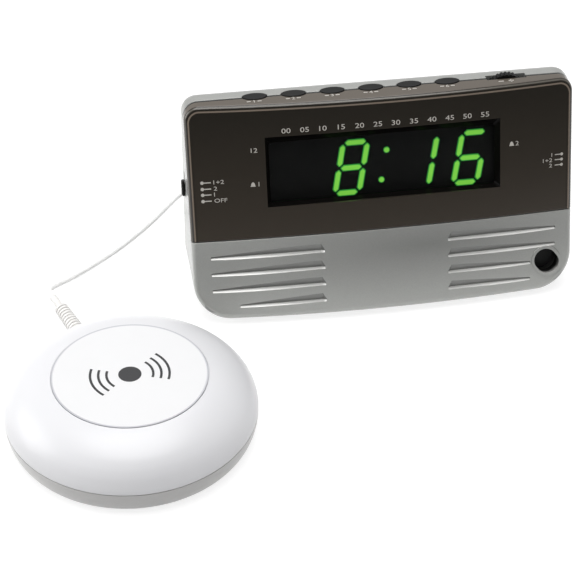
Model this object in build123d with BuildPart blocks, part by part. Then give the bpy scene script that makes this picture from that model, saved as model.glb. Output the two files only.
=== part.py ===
"""Bed shaker alarm clock: a leaning desk clock with a corded vibrating puck.

Millimetres, +Z up, the clock faces -Y. The origin is on the table, in the middle of
the ground that the clock and the shaker cover together.
"""
import os
from math import atan, cos, degrees, dist, radians, sin, sqrt, tan

from build123d import *

os.makedirs("parts", exist_ok=True)

# Clock case
CASE_W = 183.0
CASE_D = 48.4
TOP_Z = 101.6
BASE_Z = 3.0
TOP_R = 7.0
BASE_R = 17.0
REAR_R = 7.5
EDGE_R = 2.4
WALL = 2.6
BULGE = 4.65
COVER_RUN = 5.4
TOP_BACK = 11.0
SEAM_V = 39.7
SEAM_GAP = 0.3
SEAM_R = 0.4
TOUCH_GAP = 0.3

# Display window and digits
WINDOW_W = 110.8
WINDOW_LOW = 54.5
WINDOW_HIGH = 87.8
WINDOW_R = 1.2
BEVEL_SIDE = 2.0
BEVEL_LOW = 1.4
BEVEL_HIGH = 3.4
SEAT_LEDGE = 3.0
PANE_DROP = 0.25
PANE_T = 2.0
MODULE_GAP = 0.8
MODULE_EDGE = 0.8
DIGIT_H = 27.0
DIGIT_W = 14.5
DIGIT_V = 68.6
DIGIT_SLANT = 10.9
SEG_W = 3.0
SEG_GAP = 0.45
SEG_R = 0.7
SEG_RISE = 0.4
HOUR_U = -14.6
COLON_U = 1.0
COLON_STEP = 7.1
COLON_R = 1.5
TENS_U = 18.6
MINUTE_U = 42.2

# Grooved lower panel and sound port
GROOVE_V = 31.4
GROOVE_PITCH = 8.17
GROOVE_H = 3.4
GROOVE_DEPTH = 1.5
GROOVE_TIP = 0.7
GROOVE_LIP = 0.8
GROOVE_OPEN = 2.0
GROOVE_END = 1.6
GROOVE_IN = 31.2
GROOVE_ROWS = 4
LONG_ROWS_LEFT = 3
LONG_ROWS_RIGHT = 2
LONG_SIDE = 8.5
SHORT_SIDE = 21.0
PORT_SIDE = 12.8
PORT_V = 15.0
PORT_L = 13.0
PORT_W = 11.0
PORT_TURN = -50.0
PORT_RIM = 1.3
PORT_RISE = 0.9
PORT_TUBE = 4.5
SIREN_SIDE = 15.0
SIREN_V = 16.5
SIREN_R = 7.0
SIREN_T = 8.0

# Keys on the top
KEY_X = -58.0
KEY_PITCH = 18.05
KEY_L = 11.5
KEY_W = 5.4
KEY_RISE = 0.4
KEY_DOME_R = 0.3
KEY_EAR = 0.9
KEY_EAR_W = 3.0
KEY_EAR_T = 1.2
KEY_STEM_R = 1.5
KEY_DROP = 0.8
TACT_SIZE = 6.0
TACT_H = 3.5
TACT_BOARD_Z = 88.6
TACT_BOARD_D = 10.0
BOARD_T = 1.6
SHELF_W = 5.0
SHELF_H = 5.0

# Tone wheel
WHEEL_X = 60.3
WHEEL_R = 9.5
WHEEL_T = 3.0
WHEEL_RISE = 1.8
WHEEL_NOTCH_R = 0.6
WHEEL_NOTCHES = 30
NOTCH_SIDES = 4
WHEEL_AXLE_R = 1.5
SLOT_L = 19.0
SLOT_CLEAR = 0.4
POT_W = 12.0
POT_H = 12.0
POT_TOP = 3.1
POT_T = 2.0
RUN_FIT = 0.05

# Slide switches on the two sides
SLIDE_DEPTH = 14.6
MODE_V = 62.3
MODE_UP = 5.9
MODE_DOWN = 2.9
ALARM_V = 64.8
ALARM_TRAVEL = 2.55
KNOB_L = 7.6
KNOB_W = 4.0
KNOB_RISE = 1.4
KNOB_EDGE = 0.8
KNOB_RIB = 0.45
KNOB_RIBS = 4
STEM_L = 3.2
STEM_W = 2.0
STEM_IN = 1.4
STEM_CLEAR = 0.3
SWITCH_T = 5.5
SWITCH_W = 7.0
SWITCH_END = 3.0

# Boards behind the face
BOARD_LOW = 51.5
BOARD_HIGH = 88.6
POST_OUT = 7.1
POST_EDGE = 4.5
POST_INSET = 4.0
POST_R = 3.2
CHIP_L = 26.0
CHIP_W = 9.0
CHIP_T = 3.2
CHIP_V = 66.0
CAP_R = 4.0
CAP_H = 9.0
CAP_U = 40.0
CAP_STEP = 12.0

# Screws
SCREW_R = 1.4
SCREW_FIT = 0.1
SCREW_HEAD_R = 2.7
SCREW_HEAD_H = 1.8
SCREW_IN = 4.2
SCREW_SEAT = 4.0
BOSS_R = 3.8
HIGH_SCREW_SIDE = 9.5
HIGH_SCREW_Z = 87.0
LOW_SCREW_X = 50.0
LOW_SCREW_Z = 12.5

# Sockets on the back
INLET_X = -36.0
SOCKET_Z = 18.0
INLET_W = 9.0
INLET_L = 13.0
INLET_COLLAR_R = 4.0
INLET_BORE_R = 2.8
INLET_BORE_L = 9.5
INLET_PIN_R = 1.0
JACK_W = 8.6
JACK_L = 14.0
JACK_COLLAR_R = 3.2
JACK_BORE_R = 1.8
COLLAR_CLEAR = 0.15

# Battery bay
BAY_X = 30.0
BAY_LOW = 22.5
BAY_W = 53.0
BAY_H = 27.0
BAY_D = 17.5
BAY_WALL = 1.5
BAY_FLANGE = 3.5
DOOR_LAP = 1.6
DOOR_T = 2.2
DOOR_GAP = 0.3
HINGE_PIN_R = 0.8
HINGE_PIN_L = 1.4
DOOR_GRIP_L = 14.0
DOOR_GRIP_H = 5.0
DOOR_GRIP_DEPTH = 0.9
SNAP_T = 1.6
SNAP_L = 24.0
SNAP_H = 13.0
STUD_R = 2.7
STUD_H = 2.4
STUD_STEP = 6.4

# Feet
FOOT_R = 5.0
FOOT_SINK = 0.5
FOOT_SIDE = 29.0
FOOT_FRONT_Y = 16.0
FOOT_BACK_Y = 35.0

# Shaker
SHAKER_LEFT = 128.0
SHAKER_FRONT = 64.5
RIM_R = 55.3
SHAKER_H = 31.0
SHAKER_PART_Z = 12.2
SHAKER_GAP = 0.4
SHAKER_WALL = 2.4
SHOULDER_R = 28.0
SOLE_R = 48.6
LABEL_R = 33.9
LABEL_SINK = 1.0
LABEL_T = 0.8
LABEL_FIT = 0.25
LIP_T = 1.4
LIP_UP = 2.2
SHAKER_BOSS_R = 3.6
BOSS_RING_R = 42.0
SHAKER_BOSS_TURN = 60.0
SHAKER_SCREWS = 3
SHAKER_SCREW_SEAT = 4.5
MOTOR_R = 11.0
MOTOR_L = 28.0
MOTOR_BACK = 20.0
MOTOR_Z = 14.6
MOTOR_NOSE_R = 3.5
MOTOR_NOSE_L = 2.5
SHAFT_R = 1.5
SHAFT_L = 22.0
WEIGHT_R = 9.8
WEIGHT_T = 12.0
WEIGHT_HUB_R = 4.0
WEIGHT_AT = 7.0
CRADLE_T = 3.0
CRADLE_INSET = 4.0
CRADLE_W = 20.0
STRAP_T = 1.4
STRAP_L = 9.0
EAR_L = 7.0

# Ribbed strain relief of the shaker
BOOT_ANGLE = 109.4
BOOT_R = 3.7
BOOT_ROOT_R = 2.6
BOOT_END_R = 1.75
BOOT_NECK_R = 3.0
BOOT_FLANGE_R = 4.6
BOOT_FLANGE_T = 2.0
BOOT_RIBS = 11
BOOT_RIB_PITCH = 2.0
BOOT_RIB_T = 1.25
BOOT_TAPER = 0.5
BOOT_NOSE_L = 9.0
BOOT_CLEAR = 0.1

# Cord, coil, tie and plug
CORD_R = 1.15
CORD_SIDES = 8
BEND_SHARE = 0.45
BOOT_RUN = 3.6
FLOOR_GAP = 0.05
COIL_X = -35.0
COIL_Y = 113.1
COIL_R = 17.75
COIL_PITCH = 2.75
COIL_LAYER = 2.7
COIL_LIFT = 1.25
COIL_LAYERS = 4
COIL_RUN = 11.0
HALF_TURNS = 7
TIE_T = 0.9
TIE_W = 5.0
TIE_CLEAR = 0.3
PLUG_R = 4.5
PLUG_L = 17.0
PLUG_TAIL_L = 11.0
PLUG_TAIL_R = 2.0
PLUG_PIN_R = 1.75
PLUG_PIN_L = 13.0
PLUG_EDGE = 0.8
TAIL_RUN = 9.4

# The clock's front bottom edge and the shaker's middle, set so that the ground that
# both cover is centred on the origin
CLOCK_X = (SHAKER_LEFT + RIM_R - CASE_W / 2 - TOUCH_GAP - KNOB_RISE) / 2
CLOCK_Y = (SHAKER_FRONT + RIM_R - CASE_D) / 2
SHAKER_X = CLOCK_X - SHAKER_LEFT
SHAKER_Y = CLOCK_Y - SHAKER_FRONT

# The face leans back as far as the case's depth leaves room for the top behind it
LEAN = degrees(atan((CASE_D - TOP_BACK - COVER_RUN) / (TOP_Z - BASE_Z)))
COVER_D = COVER_RUN * cos(radians(LEAN))
RISE = Vector(0, sin(radians(LEAN)), cos(radians(LEAN)))
OUT = Vector(0, -cos(radians(LEAN)), sin(radians(LEAN)))
ACROSS = Vector(1, 0, 0)
UP = Vector(0, 0, 1)
BACK = Vector(0, 1, 0)
FACE_ORIGIN = Vector(CLOCK_X, CLOCK_Y, BASE_Z)
FACE = Plane(origin=FACE_ORIGIN, x_dir=ACROSS, z_dir=OUT)
PLAN = Plane(origin=FACE_ORIGIN, x_dir=ACROSS, z_dir=RISE)
FRONT_R = (CASE_W * CASE_W / 4 + BULGE * BULGE) / (2 * BULGE)
FAR = 2 * CASE_W


def bulge_at(u):
    """Height of the bowed face over its flat plane, u from the middle."""
    return sqrt(FRONT_R * FRONT_R - u * u) - FRONT_R + BULGE


def on_face(u, v, w):
    """Point u across the face, v up along it and w out from it."""
    return FACE_ORIGIN + ACROSS * u + RISE * v + OUT * w


def seam_y(z):
    """Distance behind the clock's front edge of the seam between cover and rear case."""
    return (z - BASE_Z) * tan(radians(LEAN)) + COVER_RUN


def at_clock(x, y, z):
    """Point given from the clock's front bottom edge and the table."""
    return Vector(CLOCK_X + x, CLOCK_Y + y, z)


def level(z, x=0.0, y=0.0):
    """Level plane over a point of the clock."""
    return Plane(origin=at_clock(x, y, z), x_dir=ACROSS, z_dir=UP)


def upright(y, x=0.0, z=0.0):
    """Plane that faces backwards; its first axis runs to the clock's left, as seen from the front."""
    return Plane(origin=at_clock(x, y, z), x_dir=-ACROSS, z_dir=BACK)


def case_body(inset):
    """The whole case as one block, drawn in by an even inset."""
    outline_plane = Plane(origin=at_clock(0, CASE_D - inset, 0), x_dir=ACROSS, z_dir=-BACK)
    with BuildPart() as body:
        with BuildSketch(outline_plane) as outline:
            with Locations((0, (TOP_Z + BASE_Z) / 2)):
                Rectangle(CASE_W - 2 * inset, TOP_Z - BASE_Z - 2 * inset)
            fillet(outline.vertices().group_by(Axis.Y)[-1], TOP_R - inset)
            fillet(outline.vertices().group_by(Axis.Y)[0], BASE_R - inset)
        extrude(amount=2 * CASE_D)
        fillet(body.faces().sort_by(Axis.Y)[-1].edges(), REAR_R - inset)
        with BuildSketch(PLAN):
            with Locations((0, FRONT_R - BULGE)):
                Circle(FRONT_R - inset)
        extrude(amount=FAR, both=True, mode=Mode.INTERSECT)
    return body.part


def rim_edges(front, seam_dir):
    """Edges of a front piece where it meets the rear case and its neighbour on the face."""
    back_face = front.faces().sort_by(Axis(FACE_ORIGIN, OUT))[0]
    seam_face = front.faces().sort_by(Axis(FACE_ORIGIN, seam_dir))[0]
    return set(back_face.edges() + seam_face.edges())


cavity = case_body(WALL)

with BuildPart() as case_block:
    add(case_body(0))
    fillet(case_block.faces().sort_by(Axis.Y)[0].edges(), EDGE_R)
outer = case_block.part

# Places that several pieces share
SEAM_TOP_Y = seam_y(TOP_Z)
KEY_NAMES = ("dimmer_key", "snooze_key", "alarm_key", "clock_key", "hour_key", "minute_key")
KEY_PLACES = [(KEY_X + KEY_PITCH * i, SEAM_TOP_Y) for i in range(len(KEY_NAMES))]
WINDOW_V = (WINDOW_LOW + WINDOW_HIGH) / 2
WINDOW_H = WINDOW_HIGH - WINDOW_LOW
SEAT_W = WINDOW_W + 2 * SEAT_LEDGE
SEAT_H = WINDOW_H + 2 * SEAT_LEDGE
PANE_FRONT = bulge_at(SEAT_W / 2) - WALL - PANE_DROP
PANE_BACK = PANE_FRONT - PANE_T
MODULE_FRONT = PANE_BACK - MODULE_GAP
BOARD_V = (BOARD_LOW + BOARD_HIGH) / 2
POST_U = WINDOW_W / 2 + POST_OUT
BOARD_W = 2 * (POST_U + POST_EDGE)
POSTS = [
    (sign * POST_U, v)
    for sign in (-1, 1)
    for v in (BOARD_LOW + POST_INSET, BOARD_HIGH - POST_INSET)
]
HIGH_SCREW_X = CASE_W / 2 - HIGH_SCREW_SIDE
HIGH_SCREWS = [(-HIGH_SCREW_X, HIGH_SCREW_Z), (HIGH_SCREW_X, HIGH_SCREW_Z)]
LOW_SCREWS = [(-LOW_SCREW_X, LOW_SCREW_Z), (LOW_SCREW_X, LOW_SCREW_Z)]
PORT_U = CASE_W / 2 - PORT_SIDE
FOOT_X = CASE_W / 2 - FOOT_SIDE
REAR_IN_Y = CASE_D - WALL
WHEEL_Z = TOP_Z + WHEEL_RISE - WHEEL_R
POT_Y = SEAM_TOP_Y + WHEEL_T / 2 + SLOT_CLEAR
DOOR_W = BAY_W + 2 * DOOR_LAP
DOOR_H = BAY_H + 2 * DOOR_LAP
BAY_Z = BAY_LOW + BAY_H / 2
DOOR_Y = REAR_IN_Y + DOOR_GAP
HINGE_Y = DOOR_Y + DOOR_T / 2
HINGE_Z = BAY_LOW - DOOR_LAP + DOOR_T / 2
MODE_SLOT_V = MODE_V + (MODE_UP - MODE_DOWN) / 2
MODE_SLOT_L = MODE_UP + MODE_DOWN + STEM_L + 2 * STEM_CLEAR
ALARM_SLOT_L = 2 * ALARM_TRAVEL + STEM_L + 2 * STEM_CLEAR
JACK_X = COIL_X + COIL_R

# Smoked cover over the upper face, top and sides
with BuildPart() as cover_space:
    add(cavity)
    with BuildSketch(FACE.offset(PANE_FRONT)):
        with Locations((0, WINDOW_V)):
            RectangleRounded(SEAT_W, SEAT_H, WINDOW_R)
    extrude(amount=FAR, mode=Mode.SUBTRACT)
    with BuildSketch(FACE.offset(-COVER_D)):
        with Locations(*POSTS):
            Circle(POST_R)
    extrude(amount=FAR, mode=Mode.SUBTRACT)
    with BuildSketch(upright(0)):
        with Locations(*HIGH_SCREWS):
            Circle(BOSS_R)
    extrude(amount=CASE_D, mode=Mode.SUBTRACT)

with BuildPart() as smoked_cover:
    add(outer)
    with BuildSketch(FACE.offset(-COVER_D)):
        with Locations((0, SEAM_V + TOP_Z)):
            Rectangle(2 * CASE_W, 2 * TOP_Z)
    extrude(amount=FAR, mode=Mode.INTERSECT)
    fillet(rim_edges(smoked_cover, RISE), SEAM_R)
    add(cover_space.part, mode=Mode.SUBTRACT)
    # Window with bevelled sides, deeper at the top
    with BuildSketch(FACE.offset(bulge_at(WINDOW_W / 2))):
        with Locations((0, WINDOW_V)):
            RectangleRounded(WINDOW_W, WINDOW_H, WINDOW_R)
    with BuildSketch(FACE.offset(PANE_FRONT)):
        with Locations((0, WINDOW_V + (BEVEL_LOW - BEVEL_HIGH) / 2)):
            RectangleRounded(WINDOW_W - 2 * BEVEL_SIDE, WINDOW_H - BEVEL_LOW - BEVEL_HIGH, WINDOW_R)
    loft(ruled=True, mode=Mode.SUBTRACT)
    with BuildSketch(FACE.offset(bulge_at(WINDOW_W / 2))):
        with Locations((0, WINDOW_V)):
            RectangleRounded(WINDOW_W, WINDOW_H, WINDOW_R)
    extrude(amount=BULGE, mode=Mode.SUBTRACT)
    # Front halves of the key holes and of the wheel slot
    with BuildSketch(level(TOP_Z - 2 * WALL)):
        with Locations(*KEY_PLACES):
            Ellipse(KEY_L / 2 + TOUCH_GAP, KEY_W / 2 + TOUCH_GAP)
        with Locations((WHEEL_X, SEAM_TOP_Y)):
            Rectangle(SLOT_L, WHEEL_T + 2 * SLOT_CLEAR)
    extrude(amount=4 * WALL, mode=Mode.SUBTRACT)
    # Pilot holes for the board screws and the upper case screws
    with BuildSketch(FACE.offset(-COVER_D)):
        with Locations(*POSTS):
            Circle(SCREW_R + SCREW_FIT)
    extrude(amount=SCREW_IN, mode=Mode.SUBTRACT)
    with BuildSketch(upright(seam_y(HIGH_SCREW_Z) - SCREW_IN)):
        with Locations(*HIGH_SCREWS):
            Circle(SCREW_R + SCREW_FIT)
    extrude(amount=CASE_D, mode=Mode.SUBTRACT)
smoked_cover.part.label = "smoked_cover"
export_step(smoked_cover.part, "parts/smoked_cover.step")

# Clear smoked pane on the seat behind the window
with BuildPart() as display_window:
    with BuildSketch(FACE.offset(PANE_BACK)):
        with Locations((0, WINDOW_V)):
            RectangleRounded(SEAT_W - 2 * TOUCH_GAP, SEAT_H - 2 * TOUCH_GAP, WINDOW_R)
        with Locations(*POSTS):
            Circle(POST_R + TOUCH_GAP, mode=Mode.SUBTRACT)
    extrude(amount=PANE_T)
display_window.part.label = "display_window"
export_step(display_window.part, "parts/display_window.step")

# Silver lower panel with tapering grooves and the raised sound port
with BuildPart() as panel_space:
    add(cavity)
    with BuildSketch(upright(-BULGE)):
        with Locations(*LOW_SCREWS):
            Circle(BOSS_R)
    extrude(amount=CASE_D, mode=Mode.SUBTRACT)
    with BuildSketch(FACE.offset(-PORT_TUBE)):
        with Locations((PORT_U, PORT_V)):
            SlotOverall(PORT_L + 2 * PORT_RIM, PORT_W + 2 * PORT_RIM, rotation=PORT_TURN)
    extrude(amount=FAR, mode=Mode.SUBTRACT)


def groove_plane(u, v):
    """Plane across a groove, on the face's skin, with its axes up the face and outwards."""
    return Plane(origin=on_face(u, v, bulge_at(u)), x_dir=RISE, z_dir=ACROSS)


GROOVES = [
    (side, row, CASE_W / 2 - (LONG_SIDE if row < long_rows else SHORT_SIDE))
    for side, long_rows in ((-1, LONG_ROWS_LEFT), (1, LONG_ROWS_RIGHT))
    for row in range(GROOVE_ROWS)
]

with BuildPart() as front_panel:
    add(outer)
    with BuildSketch(FACE.offset(-COVER_D)):
        with Locations((0, SEAM_V - SEAM_GAP - TOP_Z)):
            Rectangle(2 * CASE_W, 2 * TOP_Z)
    extrude(amount=FAR, mode=Mode.INTERSECT)
    fillet(rim_edges(front_panel, -RISE), SEAM_R)
    add(panel_space.part, mode=Mode.SUBTRACT)
    for side, row, reach in GROOVES:
        row_v = GROOVE_V - GROOVE_PITCH * row
        for u, depth, height in (
            (side * (GROOVE_IN - GROOVE_END), GROOVE_TIP, GROOVE_TIP),
            (side * GROOVE_IN, GROOVE_DEPTH, GROOVE_H),
            (side * reach, GROOVE_TIP, GROOVE_TIP),
        ):
            spread = (depth + GROOVE_OPEN) / depth
            with BuildSketch(groove_plane(u, row_v)):
                with BuildLine():
                    Polyline(
                        (0, -depth),
                        (-GROOVE_LIP * spread, GROOVE_OPEN),
                        (height * spread, GROOVE_OPEN),
                        close=True,
                    )
                make_face()
        loft(ruled=True, mode=Mode.SUBTRACT)
    with BuildSketch(FACE.offset(0)):
        with Locations((PORT_U, PORT_V)):
            SlotOverall(PORT_L + 2 * PORT_RIM, PORT_W + 2 * PORT_RIM, rotation=PORT_TURN)
    extrude(amount=bulge_at(PORT_U) + PORT_RISE)
    with BuildSketch(FACE.offset(-COVER_D)):
        with Locations((PORT_U, PORT_V)):
            SlotOverall(PORT_L, PORT_W, rotation=PORT_TURN)
    extrude(amount=FAR, mode=Mode.SUBTRACT)
    with BuildSketch(upright(seam_y(LOW_SCREW_Z) - SCREW_IN)):
        with Locations(*LOW_SCREWS):
            Circle(SCREW_R + SCREW_FIT)
    extrude(amount=CASE_D, mode=Mode.SUBTRACT)
front_panel.part.label = "front_panel"
export_step(front_panel.part, "parts/front_panel.step")

# Silver rear case with its posts, shelves, sockets, battery opening and side slots
SHELVES = [KEY_PLACES[0][0] - KEY_L / 2, KEY_PLACES[-1][0] + KEY_L / 2]
with BuildPart() as rear_space:
    add(cavity)
    with BuildSketch(upright(0)):
        with Locations(*HIGH_SCREWS, *LOW_SCREWS):
            Circle(BOSS_R)
    extrude(amount=2 * CASE_D, mode=Mode.SUBTRACT)
    with BuildSketch(level(TACT_BOARD_Z - SHELF_H)):
        with Locations(*[(x, SEAM_TOP_Y + TACT_BOARD_D / 2 + CASE_D / 2) for x in SHELVES]):
            Rectangle(SHELF_W, CASE_D + TACT_BOARD_D)
    extrude(amount=SHELF_H, mode=Mode.SUBTRACT)
    with BuildSketch(upright(POT_Y + POT_T)):
        with Locations((-WHEEL_X, WHEEL_Z + POT_TOP - POT_H)):
            Rectangle(POT_W, POT_H - POT_TOP, align=(Align.CENTER, Align.MIN))
    extrude(amount=CASE_D, mode=Mode.SUBTRACT)

with BuildPart() as rear_case:
    add(outer)
    with BuildSketch(FACE.offset(-COVER_D - SEAM_GAP)):
        Rectangle(2 * CASE_W, 4 * TOP_Z)
    extrude(amount=-FAR, mode=Mode.INTERSECT)
    fillet(rear_case.faces().sort_by(Axis(FACE_ORIGIN, OUT))[-1].edges(), SEAM_R)
    add(rear_space.part, mode=Mode.SUBTRACT)
    # Rear halves of the key holes and of the wheel slot
    with BuildSketch(level(TOP_Z - 2 * WALL)):
        with Locations(*KEY_PLACES):
            Ellipse(KEY_L / 2 + TOUCH_GAP, KEY_W / 2 + TOUCH_GAP)
        with Locations((WHEEL_X, SEAM_TOP_Y)):
            Rectangle(SLOT_L, WHEEL_T + 2 * SLOT_CLEAR)
    extrude(amount=4 * WALL, mode=Mode.SUBTRACT)
    # Screw holes with deep counterbores
    for places in (HIGH_SCREWS, LOW_SCREWS):
        seat_y = seam_y(places[0][1]) + SEAM_GAP + SCREW_SEAT
        with BuildSketch(upright(0)):
            with Locations(*places):
                Circle(SCREW_R + SCREW_FIT)
        extrude(amount=2 * CASE_D, mode=Mode.SUBTRACT)
        with BuildSketch(upright(seat_y)):
            with Locations(*places):
                Circle(SCREW_HEAD_R + TOUCH_GAP)
        extrude(amount=CASE_D, mode=Mode.SUBTRACT)
    # Socket holes and the battery opening, with its hinge sockets
    with BuildSketch(upright(REAR_IN_Y - WALL)):
        with Locations((-INLET_X, SOCKET_Z)):
            Circle(INLET_COLLAR_R + COLLAR_CLEAR)
        with Locations((-JACK_X, SOCKET_Z)):
            Circle(JACK_COLLAR_R + COLLAR_CLEAR)
        with Locations((-BAY_X, BAY_Z)):
            Rectangle(DOOR_W + 2 * DOOR_GAP, DOOR_H + 2 * DOOR_GAP)
    extrude(amount=4 * WALL, mode=Mode.SUBTRACT)
    with BuildSketch(Plane(origin=at_clock(BAY_X, HINGE_Y, HINGE_Z), x_dir=BACK, z_dir=ACROSS)):
        Circle(HINGE_PIN_R + RUN_FIT)
    extrude(amount=DOOR_W / 2 + HINGE_PIN_L + DOOR_GAP, both=True, mode=Mode.SUBTRACT)
    # Slots for the slide switches
    for side, slot_v, slot_l in ((-1, MODE_SLOT_V, MODE_SLOT_L), (1, ALARM_V, ALARM_SLOT_L)):
        with BuildSketch(FACE.offset(-SLIDE_DEPTH - STEM_W / 2 - STEM_CLEAR)):
            with Locations((side * CASE_W / 2, slot_v)):
                Rectangle(4 * WALL, slot_l)
        extrude(amount=STEM_W + 2 * STEM_CLEAR, mode=Mode.SUBTRACT)
    # Shallow round seats for the feet
    with BuildSketch(level(BASE_Z - FOOT_SINK)):
        with Locations((0, (FOOT_BACK_Y + FOOT_FRONT_Y) / 2)):
            with GridLocations(2 * FOOT_X, FOOT_BACK_Y - FOOT_FRONT_Y, 2, 2):
                Circle(FOOT_R + TOUCH_GAP)
    extrude(amount=2 * FOOT_SINK, mode=Mode.SUBTRACT)
rear_case.part.label = "rear_case"
export_step(rear_case.part, "parts/rear_case.step")

# Display module with its lit bars, both behind the pane
with BuildPart() as led_module:
    with BuildSketch(FACE.offset(-COVER_D)):
        with Locations((0, WINDOW_V)):
            Rectangle(WINDOW_W - 2 * MODULE_EDGE, WINDOW_H - 2 * MODULE_EDGE)
    extrude(amount=MODULE_FRONT + COVER_D)
led_module.part.label = "led_module"
export_step(led_module.part, "parts/led_module.step")

SEG_X = (DIGIT_W - SEG_W) / 2
SEG_Y = (DIGIT_H - SEG_W) / 2
BARS = {
    "a": ((-SEG_X, SEG_Y), (SEG_X, SEG_Y)),
    "b": ((SEG_X, SEG_Y), (SEG_X, 0)),
    "c": ((SEG_X, 0), (SEG_X, -SEG_Y)),
    "d": ((-SEG_X, -SEG_Y), (SEG_X, -SEG_Y)),
    "e": ((-SEG_X, 0), (-SEG_X, -SEG_Y)),
    "f": ((-SEG_X, SEG_Y), (-SEG_X, 0)),
    "g": ((-SEG_X, 0), (SEG_X, 0)),
}
SHOWN = ((HOUR_U, "abcdefg"), (TENS_U, "bc"), (MINUTE_U, "acdefg"))


def slanted(digit_u, x, y):
    """Point of a digit on the face, leaned to the right with its height."""
    return (digit_u + x + y * tan(radians(DIGIT_SLANT)), DIGIT_V + y)


def bar_corners(digit_u, start, end):
    """Six corners of a bar with pointed ends along a line of the digit."""
    along = Vector(*end) - Vector(*start)
    along = along / along.length
    aside = Vector(-along.Y, along.X) * (SEG_W / 2)
    tip_in = along * SEG_GAP
    shoulder = along * (SEG_GAP + SEG_W / 2)
    first = Vector(*start)
    last = Vector(*end)
    corners = [
        first + tip_in,
        first + shoulder + aside,
        last - shoulder + aside,
        last - tip_in,
        last - shoulder - aside,
        first + shoulder - aside,
    ]
    return [slanted(digit_u, corner.X, corner.Y) for corner in corners]


with BuildPart() as lit_segments:
    with BuildSketch(FACE.offset(MODULE_FRONT)) as bars_drawn:
        for digit_u, bars in SHOWN:
            for bar in bars:
                with BuildLine():
                    Polyline(*bar_corners(digit_u, *BARS[bar]), close=True)
                make_face()
        fillet(bars_drawn.vertices(), SEG_R)
        with Locations(slanted(COLON_U, 0, COLON_STEP), slanted(COLON_U, 0, -COLON_STEP)):
            Circle(COLON_R)
    extrude(amount=SEG_RISE)
lit_segments.part.label = "lit_segments"
export_step(lit_segments.part, "parts/lit_segments.step")

# Main board on the posts of the cover, with its chip, capacitors and screws
with BuildPart() as main_board:
    with BuildSketch(FACE.offset(-COVER_D)):
        with Locations((0, BOARD_V)):
            Rectangle(BOARD_W, BOARD_HIGH - BOARD_LOW)
        with Locations(*POSTS):
            Circle(SCREW_R + SCREW_FIT, mode=Mode.SUBTRACT)
    extrude(amount=-BOARD_T)
main_board.part.label = "main_board"
export_step(main_board.part, "parts/main_board.step")

BOARD_BACK = -COVER_D - BOARD_T

with BuildPart() as clock_chip:
    with BuildSketch(FACE.offset(BOARD_BACK)):
        with Locations((0, CHIP_V)):
            Rectangle(CHIP_L, CHIP_W)
    extrude(amount=-CHIP_T)
clock_chip.part.label = "clock_chip"
export_step(clock_chip.part, "parts/clock_chip.step")

with BuildPart() as capacitors:
    with BuildSketch(FACE.offset(BOARD_BACK)):
        with Locations((-CAP_U, CHIP_V), (-CAP_U + CAP_STEP, CHIP_V)):
            Circle(CAP_R)
    extrude(amount=-CAP_H)
capacitors.part.label = "capacitors"
export_step(capacitors.part, "parts/capacitors.step")

with BuildPart() as board_screws:
    with BuildSketch(FACE.offset(BOARD_BACK)):
        with Locations(*POSTS):
            Circle(SCREW_R)
    extrude(amount=BOARD_T + SCREW_IN - TOUCH_GAP)
    with BuildSketch(FACE.offset(BOARD_BACK)):
        with Locations(*POSTS):
            Circle(SCREW_HEAD_R)
    extrude(amount=-SCREW_HEAD_H)
board_screws.part.label = "board_screws"
export_step(board_screws.part, "parts/board_screws.step")

# Key board on its two shelves, with a small push switch under each key
TACT_Z = TACT_BOARD_Z + BOARD_T
TACT_TOP = TACT_Z + TACT_H
TACT_BOARD_L = SHELVES[1] - SHELVES[0] + SHELF_W

with BuildPart() as key_board:
    with BuildSketch(level(TACT_BOARD_Z)):
        with Locations(((SHELVES[0] + SHELVES[1]) / 2, SEAM_TOP_Y)):
            Rectangle(TACT_BOARD_L, TACT_BOARD_D)
    extrude(amount=BOARD_T)
key_board.part.label = "key_board"
export_step(key_board.part, "parts/key_board.step")

with BuildPart() as push_switches:
    with BuildSketch(level(TACT_Z)):
        with Locations(*KEY_PLACES):
            Rectangle(TACT_SIZE, TACT_SIZE)
    extrude(amount=TACT_H)
    with BuildSketch(level(TACT_TOP)):
        with Locations(*KEY_PLACES):
            Circle(KEY_STEM_R + TOUCH_GAP)
    extrude(amount=-KEY_DROP - 2 * TOUCH_GAP, mode=Mode.SUBTRACT)
push_switches.part.label = "push_switches"
export_step(push_switches.part, "parts/push_switches.step")

# Six oval keys, each with two ears under the top wall and a stem into its switch
EAR_TOP = TOP_Z - WALL - TOUCH_GAP
for key_name, place in zip(KEY_NAMES, KEY_PLACES):
    with BuildPart() as key:
        with BuildSketch(level(EAR_TOP - KEY_EAR_T)):
            with Locations(place):
                Ellipse(KEY_L / 2, KEY_W / 2)
        extrude(amount=TOP_Z + KEY_RISE - EAR_TOP + KEY_EAR_T)
        fillet(key.faces().sort_by(Axis.Z)[-1].edges(), KEY_DOME_R)
        with BuildSketch(level(EAR_TOP - KEY_EAR_T)):
            with Locations(place):
                Rectangle(KEY_L + 2 * KEY_EAR, KEY_EAR_W)
        extrude(amount=KEY_EAR_T)
        with BuildSketch(level(TACT_TOP - TOUCH_GAP)):
            with Locations(place):
                Circle(KEY_STEM_R)
        extrude(amount=EAR_TOP - TACT_TOP + TOUCH_GAP - KEY_EAR_T / 2)
    key.part.label = key_name
    export_step(key.part, f"parts/{key_name}.step")

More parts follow.
